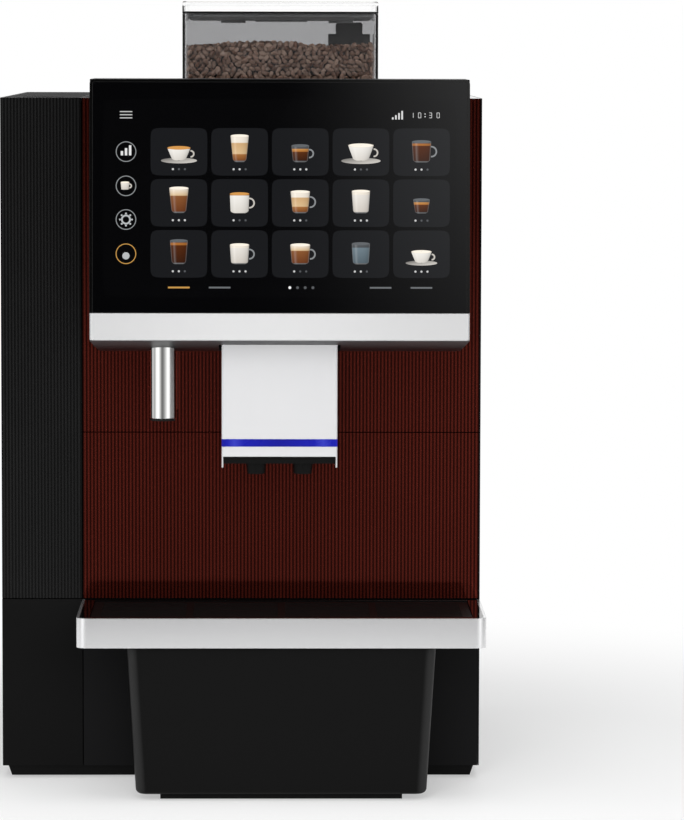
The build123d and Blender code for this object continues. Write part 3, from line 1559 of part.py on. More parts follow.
# Tank lid, flush with the top of the column, with a finger hollow
with BuildPart() as tank_lid:
    slab(
        (left + skin + 0.6, seam - column_inner_wall - 0.6),
        (column_front_wall + skin + 0.6, back - skin - 0.6),
        (body_height - tank_lid_height, body_height),
    )
    rounded(
        (tank_x[0] + tank_wall + 1, tank_x[1] - tank_wall - 1),
        (tank_y[0] + tank_wall + 1, tank_y[1] - tank_wall - 1),
        (tank_top - 4, body_height - tank_lid_height),
        4,
    )
    slab(
        (tank_x[0] + 0.5, tank_x[1] - 0.5),
        (tank_y[0] + 0.5, tank_y[1] - 0.5),
        (tank_top + running_gap, body_height - tank_lid_height),
    )
    slab(
        (tank_mid_x - 18, tank_mid_x + 18),
        (column_front_wall + 20, column_front_wall + 44),
        (body_height - tank_lid_height + 1, body_height),
        Mode.SUBTRACT,
    )
tank_lid.part.label = "tank_lid"
export_step(tank_lid.part, "parts/tank_lid.step")

# Water and coffee lines, each with bends as wide as its runs allow
coffee_line_height = cover_top + spout_rise + coffee_line_rise
manifold_z = (coffee_line_height - 32, coffee_line_height - 22)
coffee_line_x = hopper_mid + coffee_line_shift
coffee_line_y = front + 33
with BuildPart() as fluid_lines:
    run_of_tube(
        [
            (tank_x[1], dock_y, line_height),
            (pump_x, dock_y, line_height),
            (pump_x, bulkhead + line_setback, line_height),
            (pump_x, bulkhead + line_setback, pump_z),
            (pump_x, pump_y[1] + 10, pump_z),
        ],
        line_radius,
        line_bend,
    )
    run_of_tube(
        [
            (pump_x, pump_y[0] - 10, pump_z),
            (pump_x, riser_y, pump_z),
            (pump_x, riser_y, feed_line_height),
            (pump_x, boiler_y, feed_line_height),
            (coffee_boiler_x, boiler_y, feed_line_height),
            (coffee_boiler_x, boiler_y, deck_height + coffee_boiler_height + stub_height),
        ],
        line_radius,
        line_bend,
    )
    run_of_tube(
        [
            (head_mid, nozzle_y, manifold_z[1]),
            (head_mid, nozzle_y, coffee_line_height),
            (head_mid, coffee_line_y, coffee_line_height),
            (coffee_line_x, coffee_line_y, coffee_line_height),
            (coffee_line_x, coffee_line_y, brew_port_z),
            (coffee_line_x, brew_y, brew_port_z),
            (hopper_mid + cylinder_radius, brew_y, brew_port_z),
        ],
        line_radius,
        line_bend,
    )
    # Hot water to the brewing chamber, and the feed that branches to the water boiler
    run_of_tube(
        [
            (coffee_boiler_x, boiler_y - coffee_boiler_radius, brew_port_z),
            (coffee_boiler_x, bulkhead - 18, brew_port_z),
            (hopper_mid, bulkhead - 18, brew_port_z),
            (hopper_mid, brew_y + cylinder_radius, brew_port_z),
        ],
        line_radius,
        line_bend,
    )
    slab(
        (pump_x - tee_half, pump_x + tee_half),
        (riser_y - tee_half, riser_y + tee_half),
        (branch_height - tee_half, branch_height + tee_half),
    )
    run_of_tube(
        [
            (pump_x + tee_half - 1, riser_y, branch_height),
            (water_boiler_x, riser_y, branch_height),
            (water_boiler_x, boiler_y - water_boiler_radius, branch_height),
        ],
        line_radius,
        line_bend,
    )
    # Manifold over the spout, with two pipes that reach down into its bores
    slab((nozzle_xs[0] - 6, nozzle_xs[1] + 6), (nozzle_y - 6, nozzle_y + 6), manifold_z)
    for nozzle_x in nozzle_xs:
        post(nozzle_x, nozzle_y, (cover_foot + spout_rise / 2, manifold_z[0]), feed_pipe_radius)
    run_of_tube(
        [
            (water_boiler_x, boiler_y, deck_height + water_boiler_height + stub_height),
            (water_boiler_x, boiler_y, hot_line_height),
            (water_boiler_x, front + 50, hot_line_height),
            (head_mid - front_opening_width * 0.4, front + 50, hot_line_height),
            (head_mid - front_opening_width * 0.4, tube_y, hot_line_height),
            (tube_x, tube_y, hot_line_height),
            (tube_x, tube_y, tube_foot + tube_length),
        ],
        feed_pipe_radius,
        12,
    )
fluid_lines.part.label = "fluid_lines"
export_step(fluid_lines.part, "parts/fluid_lines.step")

# Button-head screws round the rear panel
with BuildPart() as panel_screws:
    screw_step = (body_height - plinth_height - 2 * screw_margin) / (screw_rows - 1)
    for row in range(screw_rows):
        screw_z = plinth_height + screw_margin + row * screw_step
        for edge_x in (seam + screw_margin, right - screw_margin):
            lying(edge_x, (rear, rear + screw_head_height), screw_z, screw_head_radius)
            with BuildSketch(Plane.XZ.offset(-(rear + screw_head_height))) as recess:
                with Locations((edge_x, screw_z)):
                    RegularPolygon(1.6, 6)
            extrude(recess.sketch, amount=1.0, mode=Mode.SUBTRACT)
panel_screws.part.label = "panel_screws"
export_step(panel_screws.part, "parts/panel_screws.step")
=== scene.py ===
"""Looks of the bean-to-cup coffee machine: its finishes, beans, screen picture, studio and camera."""
import math

import bpy
import numpy as np
from mathutils import Matrix, Vector


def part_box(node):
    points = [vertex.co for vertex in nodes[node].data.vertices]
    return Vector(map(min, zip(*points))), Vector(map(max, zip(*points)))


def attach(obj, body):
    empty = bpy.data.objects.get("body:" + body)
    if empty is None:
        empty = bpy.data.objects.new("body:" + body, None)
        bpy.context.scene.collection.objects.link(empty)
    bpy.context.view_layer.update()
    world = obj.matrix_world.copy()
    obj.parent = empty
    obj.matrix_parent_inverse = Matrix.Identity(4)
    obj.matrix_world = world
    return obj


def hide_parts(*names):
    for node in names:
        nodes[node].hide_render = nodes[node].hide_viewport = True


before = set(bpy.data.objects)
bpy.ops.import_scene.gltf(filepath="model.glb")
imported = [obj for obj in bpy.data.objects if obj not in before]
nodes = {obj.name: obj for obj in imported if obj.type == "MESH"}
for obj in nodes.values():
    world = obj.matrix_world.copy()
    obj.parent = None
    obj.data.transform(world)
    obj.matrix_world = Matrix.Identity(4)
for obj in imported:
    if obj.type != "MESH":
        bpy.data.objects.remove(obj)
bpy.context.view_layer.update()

MM = 0.001

# Small tools


def srgb(code):
    """Linear colour of an sRGB hex code."""
    parts = [int(code[i : i + 2], 16) / 255 for i in (1, 3, 5)]
    return tuple(c / 12.92 if c <= 0.04045 else ((c + 0.055) / 1.055) ** 2.4 for c in parts) + (1.0,)


def grey(value):
    """A grey of a linear value."""
    return (value, value, value, 1.0)


def add(tree, kind, inputs=None, marks=(), **settings):
    """Adds a node to a tree, makes its settings, and fills or links its inputs. A colour ramp also gets its
    marks, each a place from 0 to 1 and a colour."""
    node = tree.nodes.new(kind)
    for name, value in settings.items():
        setattr(node, name, value)
    for name, value in (inputs or {}).items():
        socket = node.inputs[name]
        if isinstance(value, bpy.types.NodeSocket):
            tree.links.new(value, socket)
        else:
            socket.default_value = value
    if marks:
        elements = node.color_ramp.elements
        elements.remove(elements[0])
        elements[0].position, elements[0].color = marks[0]
        for place, colour in marks[1:]:
            elements.new(place).color = colour
    return node


def empty_material(name):
    """A material with nothing in its tree but an output."""
    material = bpy.data.materials.new(name)
    material.use_nodes = True
    material.node_tree.nodes.clear()
    return material, material.node_tree, add(material.node_tree, "ShaderNodeOutputMaterial")


def finish(
    name,
    colour,
    roughness,
    other=None,
    mottle_mm=45.0,
    rough_spread=0.05,
    grain_mm=0.9,
    grain_depth=0.010,
    edge_mm=0.4,
    **sockets,
):
    """A surface of one material, with what every real one has: a slow drift between two close colours,
    uneven gloss, a fine grain of a given size in millimetres, and edges rounded by edge_mm. The other colour
    is a little paler where none is given, and where it is the same, the colour is even."""
    material, tree, output = empty_material(name)
    place = add(tree, "ShaderNodeTexCoord").outputs["Object"]
    drift = add(tree, "ShaderNodeTexNoise", {"Vector": place, "Scale": 1000 / mottle_mm, "Detail": 3.0})
    low, paler = srgb(colour), 1.12
    high = srgb(other) if other else tuple(min(1.0, c * paler) for c in low[:3]) + (1.0,)
    base = low
    if high != low:
        between = {"Factor": drift.outputs["Fac"], 6: low, 7: high}
        base = add(tree, "ShaderNodeMix", between, data_type="RGBA").outputs[2]
    grain = add(tree, "ShaderNodeTexNoise", {"Vector": place, "Scale": 1000 / grain_mm, "Detail": 2.0})
    gloss = add(
        tree,
        "ShaderNodeMapRange",
        {
            "Value": drift.outputs["Fac"],
            "From Min": 0.3,
            "From Max": 0.7,
            "To Min": max(0.0, roughness - rough_spread),
            "To Max": roughness + rough_spread,
        },
    )
    edge = add(tree, "ShaderNodeBevel", {"Radius": edge_mm * MM}, samples=4)
    bump = add(
        tree,
        "ShaderNodeBump",
        {
            "Strength": 1.0,
            "Distance": grain_depth * MM,
            "Height": grain.outputs["Fac"],
            "Normal": edge.outputs["Normal"],
        },
    )
    surface = add(
        tree,
        "ShaderNodeBsdfPrincipled",
        {
            "Base Color": base,
            "Roughness": gloss.outputs["Result"],
            "Normal": bump.outputs["Normal"],
        },
    )
    for socket, value in sockets.items():
        surface.inputs[socket.replace("_", " ")].default_value = value
    tree.links.new(surface.outputs["BSDF"], output.inputs["Surface"])
    return material


def open_up(material):
    """What a finish is changed by: its tree, its shader, and the socket of the place on the object."""
    tree = material.node_tree
    surface = next(n for n in tree.nodes if n.bl_idname == "ShaderNodeBsdfPrincipled")
    place = next(n for n in tree.nodes if n.bl_idname == "ShaderNodeTexCoord").outputs["Object"]
    return tree, surface, place


def share_along(material, axis, begin, end, most=1.0):
    """A socket that runs from 0 to most between two places along an axis of the machine, in metres."""
    tree, _, place = open_up(material)
    split = add(tree, "ShaderNodeSeparateXYZ", {"Vector": place})
    inputs = {"Value": split.outputs[axis], "From Min": begin, "From Max": end, "To Max": most}
    return add(tree, "ShaderNodeMapRange", inputs).outputs["Result"]


def repaint(material, share, code):
    """Lets a finish's base colour run to another one by a share from 0 to 1."""
    tree, surface, _ = open_up(material)
    now = surface.inputs["Base Color"].links[0].from_socket
    mixed = add(tree, "ShaderNodeMix", {"Factor": share, 6: now, 7: srgb(code)}, data_type="RGBA")
    tree.links.new(mixed.outputs[2], surface.inputs["Base Color"])


def repaint_along(material, axis, begin, end, code, most=1.0):
    """Lets a finish's base colour run to another one between two places along an axis, in metres."""
    repaint(material, share_along(material, axis, begin, end, most), code)


def new_object(name, points, faces, material, smooth):
    """A mesh object from arrays of points in metres and a list of faces."""
    mesh = bpy.data.meshes.new(name)
    mesh.from_pydata(points.tolist(), [], faces)
    mesh.polygons.foreach_set("use_smooth", np.full(len(mesh.polygons), smooth))
    mesh.materials.append(material)
    made = bpy.data.objects.new(name, mesh)
    bpy.context.scene.collection.objects.link(made)
    return made


def grid_faces(rows, columns, closed):
    """Faces of a grid of points, row by row. Closed joins the last column to the first."""
    across = np.arange(columns if closed else columns - 1)
    row, column = np.meshgrid(np.arange(rows - 1), across, indexing="ij")
    after = (column + 1) % columns
    low, high = row * columns, (row + 1) * columns
    return np.stack([low + column, low + after, high + after, high + column], -1).reshape(-1, 4)


# Finishes

finishes = {}

# Moulded black ABS with a fine spark-eroded texture: the eye gets a soft, deep black with a dull
# sheen. The texture is about 0.2 mm on the real one and is drawn at 0.9 mm so that it shows.
finishes["black_plastic"] = finish(
    "moulded_black_abs",
    "#0f0f0f",
    0.45,
    other="#111111",
    rough_spread=0.015,
    grain_depth=0.012,
    edge_mm=0.2,
    Specular_IOR_Level=0.08,
)

# The water tank's lid is the same ABS, sandblasted dull in its mould.
finishes["dull_plastic"] = finish(
    "dull_black_abs",
    "#151515",
    0.60,
    other="#181818",
    grain_depth=0.02,
    edge_mm=0.3,
    Specular_IOR_Level=0.04,
)


def drawer_plastic_painted_highlight():
    """Moulded black ABS on the waste drawer, with a painted highlight on its wide round corners: they are
    painted palest where the surface faces halfway between the front and the side, standing in for the side
    lights' sheen."""
    material = finish(
        "moulded_black_abs_drawer_painted_highlight",
        "#0d0d0d",
        0.42,
        other="#0f0f0f",
        grain_depth=0.008,
        Specular_IOR_Level=0.08,
    )
    tree = material.node_tree
    # Painted highlight: the base colour runs paler where the surface faces halfway between front and side.
    faces = add(tree, "ShaderNodeNewGeometry").outputs["Normal"]
    split = add(tree, "ShaderNodeSeparateXYZ", {"Vector": faces}).outputs
    both = add(tree, "ShaderNodeMath", {0: split["X"], 1: split["Y"]}, operation="MULTIPLY").outputs[0]
    corner = add(tree, "ShaderNodeMath", {0: both}, operation="ABSOLUTE").outputs[0]
    share = add(tree, "ShaderNodeMapRange", {"Value": corner, "From Min": 0.12, "From Max": 0.5})
    repaint(material, share.outputs["Result"], "#2e2e2e")
    return material


finishes["drawer_plastic_painted_highlight"] = drawer_plastic_painted_highlight()

# The same ABS on the ribbed column cover: a shade lighter on the ribs, which catch the side light, and
# painted nearly black in the grooves between them as painted shade.
finishes["column_plastic"] = finish(
    "ribbed_black_abs_painted_groove_shade",
    "#191919",
    0.40,
    other="#1b1b1b",
    grain_depth=0.008,
    edge_mm=0.05,
    Specular_IOR_Level=0.15,
)
cover_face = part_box("column_front_cover")[0][1]
# Painted shade: the colour runs nearly black in the grooves, behind the ribs' front face.
repaint_along(finishes["column_plastic"], "Y", cover_face + 0.1 * MM, cover_face + 0.7 * MM, "#0a0a0a")

# The head's shell: the same ABS, painted grey on its sloped underside behind the silver band, and darker
# towards the back as painted shade under the head.
finishes["head_plastic"] = finish(
    "moulded_black_abs_head_painted_shade",
    "#0f0f0f",
    0.40,
    other="#121212",
    grain_depth=0.012,
    edge_mm=0.2,
    Specular_IOR_Level=0.08,
)
band_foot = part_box("head_trim_band")[0][2]
# Grey below the band's foot, then painted shade: darker further back under the head.
repaint_along(finishes["head_plastic"], "Z", band_foot + 0.4 * MM, band_foot - 0.4 * MM, "#4e4f50")
repaint_along(finishes["head_plastic"], "Z", band_foot - 1.0 * MM, band_foot - 11.0 * MM, "#1c1c1d")

# Burgundy metallic lacquer over ribbed ABS: wine-red lands that mirror the tray and the side lights in their
# own red, and grooves painted dark as painted shade, where little light gets in.
finishes["burgundy_panel"] = finish(
    "burgundy_metallic_lacquer_painted_groove_shade",
    "#7c2f24",
    0.07,
    other="#823328",
    rough_spread=0.02,
    grain_mm=3.0,
    grain_depth=0.001,
    edge_mm=0.02,
    Metallic=0.82,
    Specular_IOR_Level=0.3,
)
panel_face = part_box("lower_front_panel")[0][1]
# Painted shade: the grooves run three quarters of the way to near black.
repaint_along(
    finishes["burgundy_panel"], "Y", panel_face + 0.2 * MM, panel_face + 1.0 * MM, "#1c0906", most=0.75
)

# Powder-coated sheet steel: black with the shallow orange peel of the coat, 1.8 mm across.
finishes["black_metal"] = finish(
    "black_powder_coat",
    "#0f0f10",
    0.40,
    other="#111112",
    rough_spread=0.015,
    grain_mm=1.8,
    grain_depth=0.020,
    edge_mm=0.25,
    Specular_IOR_Level=0.12,
)


def galvanised(name):
    """Hot-dip galvanised sheet: grey metal with the dull crystal spangle, 9 mm across."""
    return finish(name, "#8f9294", 0.42, other="#a9acae", mottle_mm=9.0, rough_spread=0.10, Metallic=1.0)


finishes["grey_metal"] = galvanised("galvanised_sheet")

# The chassis is the same sheet, painted black at its front as painted shade, so that the panels' seams stay
# dark.
finishes["chassis_sheet"] = galvanised("galvanised_sheet_painted_shade_front")
panel_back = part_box("chassis_frame")[0][1]
repaint_along(finishes["chassis_sheet"], "Y", panel_back + 3.0 * MM, panel_back + 2.5 * MM, "#060606")

# EPDM rubber, moulded: black and almost without sheen.
finishes["foot_rubber"] = finish(
    "moulded_rubber", "#0e0e0e", 0.72, grain_mm=1.2, grain_depth=0.03, Specular_IOR_Level=0.3
)

# Silver-lacquered ABS trim: a bright even grey with very fine flake under a satin clear coat. The tray's
# band holds more flake and mirrors the room in its rounded corners.
for kind, name, low, high, shine, roughness in (
    ("silver_trim", "silver_lacquer", "#d2d2d3", "#d4d4d4", 0.15, 0.24),
    ("tray_silver", "tray_silver", "#e8e8e9", "#ebebec", 0.84, 0.17),
):
    finishes[kind] = finish(
        name,
        low,
        roughness,
        other=high,
        mottle_mm=120.0,
        rough_spread=0.01,
        grain_mm=0.6,
        grain_depth=0.002,
        edge_mm=0.7,
        Metallic=shine,
    )


def polished_black(name):
    """Polished black ABS: like piano lacquer, with faint long waves from the mould."""
    return finish(
        name,
        "#050505",
        0.05,
        other="#070707",
        rough_spread=0.02,
        grain_mm=30.0,
        grain_depth=0.004,
        edge_mm=0.5,
    )


def worn_top():
    """Polished black ABS on the top cover, rubbed dull beside the tank's lid, where the tank comes out."""
    material = polished_black("polished_black_abs_top")
    tree, surface, _ = open_up(material)
    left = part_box("top_cover")[0][0]
    share = share_along(material, "X", left + 30.0 * MM, left + 18.0 * MM)
    now = surface.inputs["Roughness"].links[0].from_socket
    dulled = add(tree, "ShaderNodeMix", {"Factor": share, 2: now, 3: 0.75}, data_type="FLOAT")
    tree.links.new(dulled.outputs[0], surface.inputs["Roughness"])
    return material


finishes["black_gloss"] = polished_black("polished_black_abs")
finishes["worn_gloss"] = worn_top()


def inlet_socket():
    """The mains inlet: moulded black ABS round three blades of nickel-plated brass, which stand up from the
    socket's floor. A point is on a blade where it is near the blade's middle both across and up."""
    material = finish(
        "moulded_abs_with_nickel_blades", "#0f0f0f", 0.45, edge_mm=0.2, Specular_IOR_Level=0.08
    )
    tree, surface, place = open_up(material)
    split = add(tree, "ShaderNodeSeparateXYZ", {"Vector": place}).outputs
    low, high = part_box("power_inlet")
    middle = (low[0] + 21.7 * MM, (low[2] + high[2]) / 2)
    off_floor = {0: split["Y"], 1: high[1] - 16.9 * MM}
    off_floor = add(tree, "ShaderNodeMath", off_floor, operation="GREATER_THAN").outputs[0]
    on_blade = 0.0
    for across, up in ((-7, -2), (0, 2), (7, -2)):
        near_x = {0: split["X"], 1: middle[0] + across * MM, 2: 1.1 * MM}
        near_z = {0: split["Z"], 1: middle[1] + up * MM, 2: 2.1 * MM}
        near = [add(tree, "ShaderNodeMath", n, operation="COMPARE").outputs[0] for n in (near_x, near_z)]
        this = add(tree, "ShaderNodeMath", {0: near[0], 1: near[1]}, operation="MULTIPLY").outputs[0]
        on_blade = add(tree, "ShaderNodeMath", {0: on_blade, 1: this}, operation="ADD").outputs[0]
    share = add(tree, "ShaderNodeMath", {0: off_floor, 1: on_blade}, operation="MULTIPLY").outputs[0]
    repaint(material, share, "#c9c5ba")
    tree.links.new(share, surface.inputs["Metallic"])
    return material


finishes["inlet_plastic"] = inlet_socket()


def gloss_black_glass(name, edge_mm, **sockets):
    """Toughened glass with a black print behind it: a flat, clear gloss with hardly any wave."""
    return finish(
        name,
        "#020203",
        0.04,
        other="#030304",
        rough_spread=0.01,
        grain_mm=60.0,
        grain_depth=0.002,
        edge_mm=edge_mm,
        **sockets,
    )


finishes["screen_glass"] = gloss_black_glass("black_backed_glass", 0.4, IOR=1.52)

# The liquid-crystal module behind the glass: a dull grey steel tray.
finishes["display"] = finish("display_tray", "#2c2f33", 0.5, Metallic=0.6)

# Polished stainless tube, drawn and buffed: bright with dark bands from the room.
finishes["steel_tube"] = finish(
    "polished_stainless",
    "#efefee",
    0.06,
    other="#f4f4f3",
    rough_spread=0.015,
    grain_mm=1.0,
    grain_depth=0.0003,
    edge_mm=0.3,
    Metallic=1.0,
)

# Silky white ABS: clean, cool white with a soft sheen and no visible grain.
finishes["white_plastic"] = finish(
    "silky_white_abs",
    "#d0d0d2",
    0.25,
    other="#d2d2d3",
    mottle_mm=160.0,
    rough_spread=0.005,
    grain_mm=1.2,
    grain_depth=0.003,
    edge_mm=0.9,
)

# Turned and ground steel of burrs, screws and rails: cool grey with uneven gloss.
finishes["plain_steel"] = finish(
    "ground_steel", "#a3a4a6", 0.30, other="#b4b5b6", rough_spread=0.10, grain_mm=0.5, Metallic=1.0
)

# Die-cast aluminium, bead-blasted: light, matt, with a pebbled skin about 0.8 mm across.
finishes["light_alloy"] = finish(
    "bead_blasted_casting", "#a9abad", 0.50, other="#b6b8b9", grain_mm=0.8, grain_depth=0.03, Metallic=1.0
)

# Zinc-plated motor can: darker steel with a faint bluish drift.
finishes["motor_case"] = finish(
    "zinc_plated_can", "#85888d", 0.35, other="#9a9b9b", mottle_mm=20.0, rough_spread=0.08, Metallic=1.0
)

# Grey polypropylene of the hopper's inner parts and, in a paler grade, under its lid: matt and slightly
# milky.
finishes["grey_plastic"] = finish("grey_polypropylene", "#505152", 0.48, other="#585959")
finishes["pale_liner"] = finish("pale_polypropylene", "#929394", 0.42, other="#9a9b9b")

# Silicone hose: milky and soft, dust-dull.
finishes["tubing"] = finish(
    "silicone_hose", "#c9c6be", 0.45, other="#d6d3cc", Subsurface_Weight=0.25, Subsurface_Scale=0.003
)


def clear(name, colour, shadow, coat, bend):
    """A clear moulding: refracting plastic that lets the lamps' light through with a tint of its own,
    because a wall of such plastic throws only a faint shadow."""
    material = finish(
        name,
        colour,
        0.02,
        other=colour,
        rough_spread=0.01,
        grain_mm=25.0,
        grain_depth=0.002,
        edge_mm=0.5,
        Transmission_Weight=1.0,
        IOR=bend,
        Coat_Weight=coat,
        Coat_Roughness=0.03,
    )
    tree, surface, _ = open_up(material)
    output = surface.outputs["BSDF"].links[0].to_socket
    path = add(tree, "ShaderNodeLightPath")
    through = add(tree, "ShaderNodeBsdfTransparent", {"Color": srgb(shadow)})
    shaders = {0: path.outputs["Is Shadow Ray"], 1: surface.outputs["BSDF"], 2: through.outputs["BSDF"]}
    tree.links.new(add(tree, "ShaderNodeMixShader", shaders).outputs["Shader"], output)
    return material


# Clear copolyester of the hopper lid, and its smoked grade for the bean hopper and the tank:
# the smoked wall takes a little under half of the light that goes through it.
finishes["clear_plastic"] = clear("clear_copolyester", "#ffffff", "#f4f4f4", coat=0.1, bend=1.09)
finishes["smoked_plastic"] = clear("smoked_copolyester", "#c6c6c7", "#c4c4c4", coat=0.7, bend=1.13)


def light_guide():
    """The lit strip: a milky polycarbonate light guide, deep blue, with a pale spot over each of its two
    lamps. Its glow is a ramp along its length."""
    material = finish(
        "lit_light_guide", "#06072a", 0.30, other="#08092e", edge_mm=0.6, Specular_IOR_Level=0.2
    )
    tree, surface, _ = open_up(material)
    low, high = (corner[0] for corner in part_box("spout_light_strip"))
    deep, mid, pale = srgb("#1216a6"), srgb("#1c21bf"), srgb("#4048d8")
    glow = add(
        tree,
        "ShaderNodeValToRGB",
        {"Fac": share_along(material, "X", low, high)},
        marks=(
            (0.0, deep),
            (0.05, mid),
            (0.11, pale),
            (0.19, mid),
            (0.5, deep),
            (0.80, mid),
            (0.88, pale),
            (0.95, mid),
        ),
    )
    tree.links.new(glow.outputs["Color"], surface.inputs["Emission Color"])
    surface.inputs["Emission Strength"].default_value = 0.75
    return material


finishes["blue_light"] = light_guide()


def solder_mask():
    """A glass-epoxy board: green lacquer over copper tracks 4 mm apart, and black components in front of
    the board's face."""
    green, light_green = "#12482a", "#1a5a35"
    material = finish("solder_mask", green, 0.35, other=light_green)
    tree, surface, place = open_up(material)
    lacquer = surface.inputs["Base Color"].links[0].from_socket
    tracks = add(
        tree,
        "ShaderNodeTexBrick",
        {
            "Vector": place,
            "Scale": 60.0,
            "Mortar Size": 0.03,
            "Color1": srgb(green),
            "Color2": srgb(light_green),
            "Mortar": srgb("#2f7a4c"),
        },
    )
    half_and_half = {"Factor": 0.5, 6: lacquer, 7: tracks.outputs["Color"]}
    board = add(tree, "ShaderNodeMix", half_and_half, data_type="RGBA")
    tree.links.new(board.outputs[2], surface.inputs["Base Color"])
    board_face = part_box("main_board")[1][1] - 9.5 * MM
    deep = add(tree, "ShaderNodeSeparateXYZ", {"Vector": place}).outputs["Y"]
    ahead = add(tree, "ShaderNodeMath", {0: deep, 1: board_face}, operation="LESS_THAN")
    repaint(material, ahead.outputs[0], "#161617")
    return material


finishes["circuit_board"] = solder_mask()

# Nodes whose finish differs from that of their slot
own_finishes = {
    "tray_band": "tray_silver",
    "lid_liner": "pale_liner",
    "tank_lid": "dull_plastic",
    "waste_drawer": "drawer_plastic_painted_highlight",
    "head_shell": "head_plastic",
    "chassis_frame": "chassis_sheet",
    "top_cover": "worn_gloss",
    "power_inlet": "inlet_plastic",
}
for node in nodes.values():
    for slot in node.material_slots:
        slot.material = finishes.get(slot.material.name.split(".")[0], slot.material)
for name, kind in own_finishes.items():
    nodes[name].material_slots[0].material = finishes[kind]


# Coffee beans

# The room for beans in the hopper, in mm
hopper_low, hopper_high = (np.array(corner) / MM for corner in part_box("coffee_beans"))
hopper_middle = (hopper_low + hopper_high) / 2
floor_up = hopper_low[2]
# The level of the heap, how far a bean's middle may stand over it, the shortest and longest bean, and the
# gap between beans and clear wall
heap_level = floor_up + 28.2
heap_slack = 2.2
bean_length = (5.9, 7.6)
wall_gap = 0.25
# The gate's guide tower stands up through the heap at its right: no bean lies on it
tower_left = hopper_high[0] - 44.2
tower_half = 17.0
chance = np.random.default_rng(7)


def heap_height(x, y):
    """Height of the beans' top: a level with two low swells along the hopper and one across it."""
    return heap_level + 1.6 * np.sin(x / 19 + 1.0) + 1.0 * np.sin(x / 47 + y / 31) + 0.9 * np.cos(y / 23)


def square_reach(turn, bend):
    """How far a rounded square of half-width 1 reaches in a direction: the cosine and the sine, each to the
    power of bend, added, and the sum to the power of minus one over bend."""
    return (np.abs(np.cos(turn)) ** bend + np.abs(np.sin(turn)) ** bend) ** (-1 / bend)


def around(count):
    """Angles of a full turn as one row, without the last, which is the first again."""
    return np.linspace(0, 2 * math.pi, count, endpoint=False)[None, :]


def bean_shape(columns=10, rings=4):
    """One bean, 1 long: rings along its length whose radius follows the sine of the way from tip to tip,
    the lower half pressed flat, and a crease sunk along the middle of the flat side."""
    half_width, back, belly, dent, tip_height = 0.33, 0.28, 0.14, 0.10, 0.03
    along = np.linspace(0, math.pi, rings + 2)[1:-1, None]
    turn = around(columns)
    swell = np.sin(along) ** 0.8
    crease = np.exp(-(((turn - 1.5 * math.pi) / 0.35) ** 2)) * np.sin(along) ** 0.5
    x = -0.5 * np.cos(along) + 0 * turn
    y = half_width * swell * np.cos(turn)
    z = swell * np.where(np.sin(turn) > 0, back, belly) * np.sin(turn) + dent * crease
    points = np.stack([x, y, z], -1).reshape(-1, 3)
    tips = np.array([[-0.5, 0, tip_height], [0.5, 0, tip_height]])
    count = rings * columns
    ring = np.arange(columns)
    after = (ring + 1) % columns
    first = np.stack([np.full(columns, count), after, ring], -1)
    last = np.stack([np.full(columns, count + 1), count - columns + ring, count - columns + after], -1)
    sunk = np.concatenate([crease.reshape(-1), [0.0, 0.0]])
    return np.vstack([points, tips]), grid_faces(rings, columns, True), np.vstack([first, last]), sunk


def turned(spin, lean, roll):
    """Turning matrices: roll about the bean's length, lean up or down, then spin about the vertical. Each
    holds the cosine and the sine of its angle at the two axes that it turns into each other."""
    whole = np.eye(3)
    for angle, one, two in ((spin, 0, 1), (lean, 2, 0), (roll, 1, 2)):
        turn = np.zeros((len(angle), 3, 3)) + np.eye(3)
        turn[:, one, one] = np.cos(angle)
        turn[:, two, two] = np.cos(angle)
        turn[:, two, one] = np.sin(angle)
        turn[:, one, two] = -np.sin(angle)
        whole = whole @ turn
    return whole


def bean_places():
    """Centres and turns of the beans: a jittered layer along each clear wall, in rows of which every second
    one is shifted by half a step, and a layer over the top of the heap."""
    centres, turns = [], []
    inset, end_gap, step, row_step, half_turn = 2.2, 3.0, 5.0, 3.6, math.pi
    row_low, row_top = floor_up + 2.0, floor_up + 31.0

    def lay(x, y, z, spin, lean, roll):
        on_tower = (x > tower_left) & (np.abs(y - hopper_middle[1]) < tower_half)
        keep = ~on_tower & (z < heap_height(x, y) + heap_slack)
        centres.append(np.stack([x, y, z], -1)[keep])
        turns.append(turned(spin, lean, roll)[keep])

    for run, across, near in ((0, 1, True), (0, 1, False), (1, 0, True), (1, 0, False)):
        begin, end = hopper_low[run] + end_gap, hopper_high[run] - end_gap
        places, rows = np.arange(begin, end + 1, step), np.arange(row_low, row_top, row_step)
        a, z = (v.ravel() for v in np.meshgrid(places, rows, indexing="ij"))
        n = len(a)
        shift = np.where(np.round((z - row_low) / row_step) % 2 == 0, 0.0, step / 2)
        a = np.clip(a + shift + chance.uniform(-1.0, 1.0, n), begin, end)
        z = z + chance.uniform(-0.8, 0.8, n)
        lean = chance.uniform(-half_turn, half_turn, n)
        face = np.where(chance.random(n) < 0.5, half_turn, 0.0)
        depth = inset + chance.uniform(0, 1.9, n)
        tilt = chance.uniform(-0.45, 0.45, n)
        in_from_wall = hopper_low[across] + depth if near else hopper_high[across] - depth
        x, y = (a, in_from_wall) if run == 0 else (in_from_wall, a)
        lay(x, y, z, run * half_turn / 2 + tilt * 0.3, lean, half_turn / 2 + face + tilt)

    rim_gap, step, jitter, tilt = 5.0, 5.6, 1.4, 0.9
    begin, end = hopper_low + rim_gap, hopper_high - rim_gap + 1
    x, y = np.meshgrid(np.arange(begin[0], end[0], step), np.arange(begin[1], end[1], step))
    n = x.size
    x = x.ravel() + chance.uniform(-jitter, jitter, n)
    y = y.ravel() + chance.uniform(-jitter, jitter, n)
    z = heap_height(x, y) + chance.uniform(-2.4, 2.2, n)
    spin = chance.uniform(-half_turn, half_turn, n)
    lean = chance.uniform(-tilt, tilt, n)
    face = np.where(chance.random(n) < 0.4, half_turn, 0.0)
    lay(x, y, z, spin, lean, face + chance.uniform(-tilt, tilt, n))
    return np.vstack(centres), np.concatenate(turns)


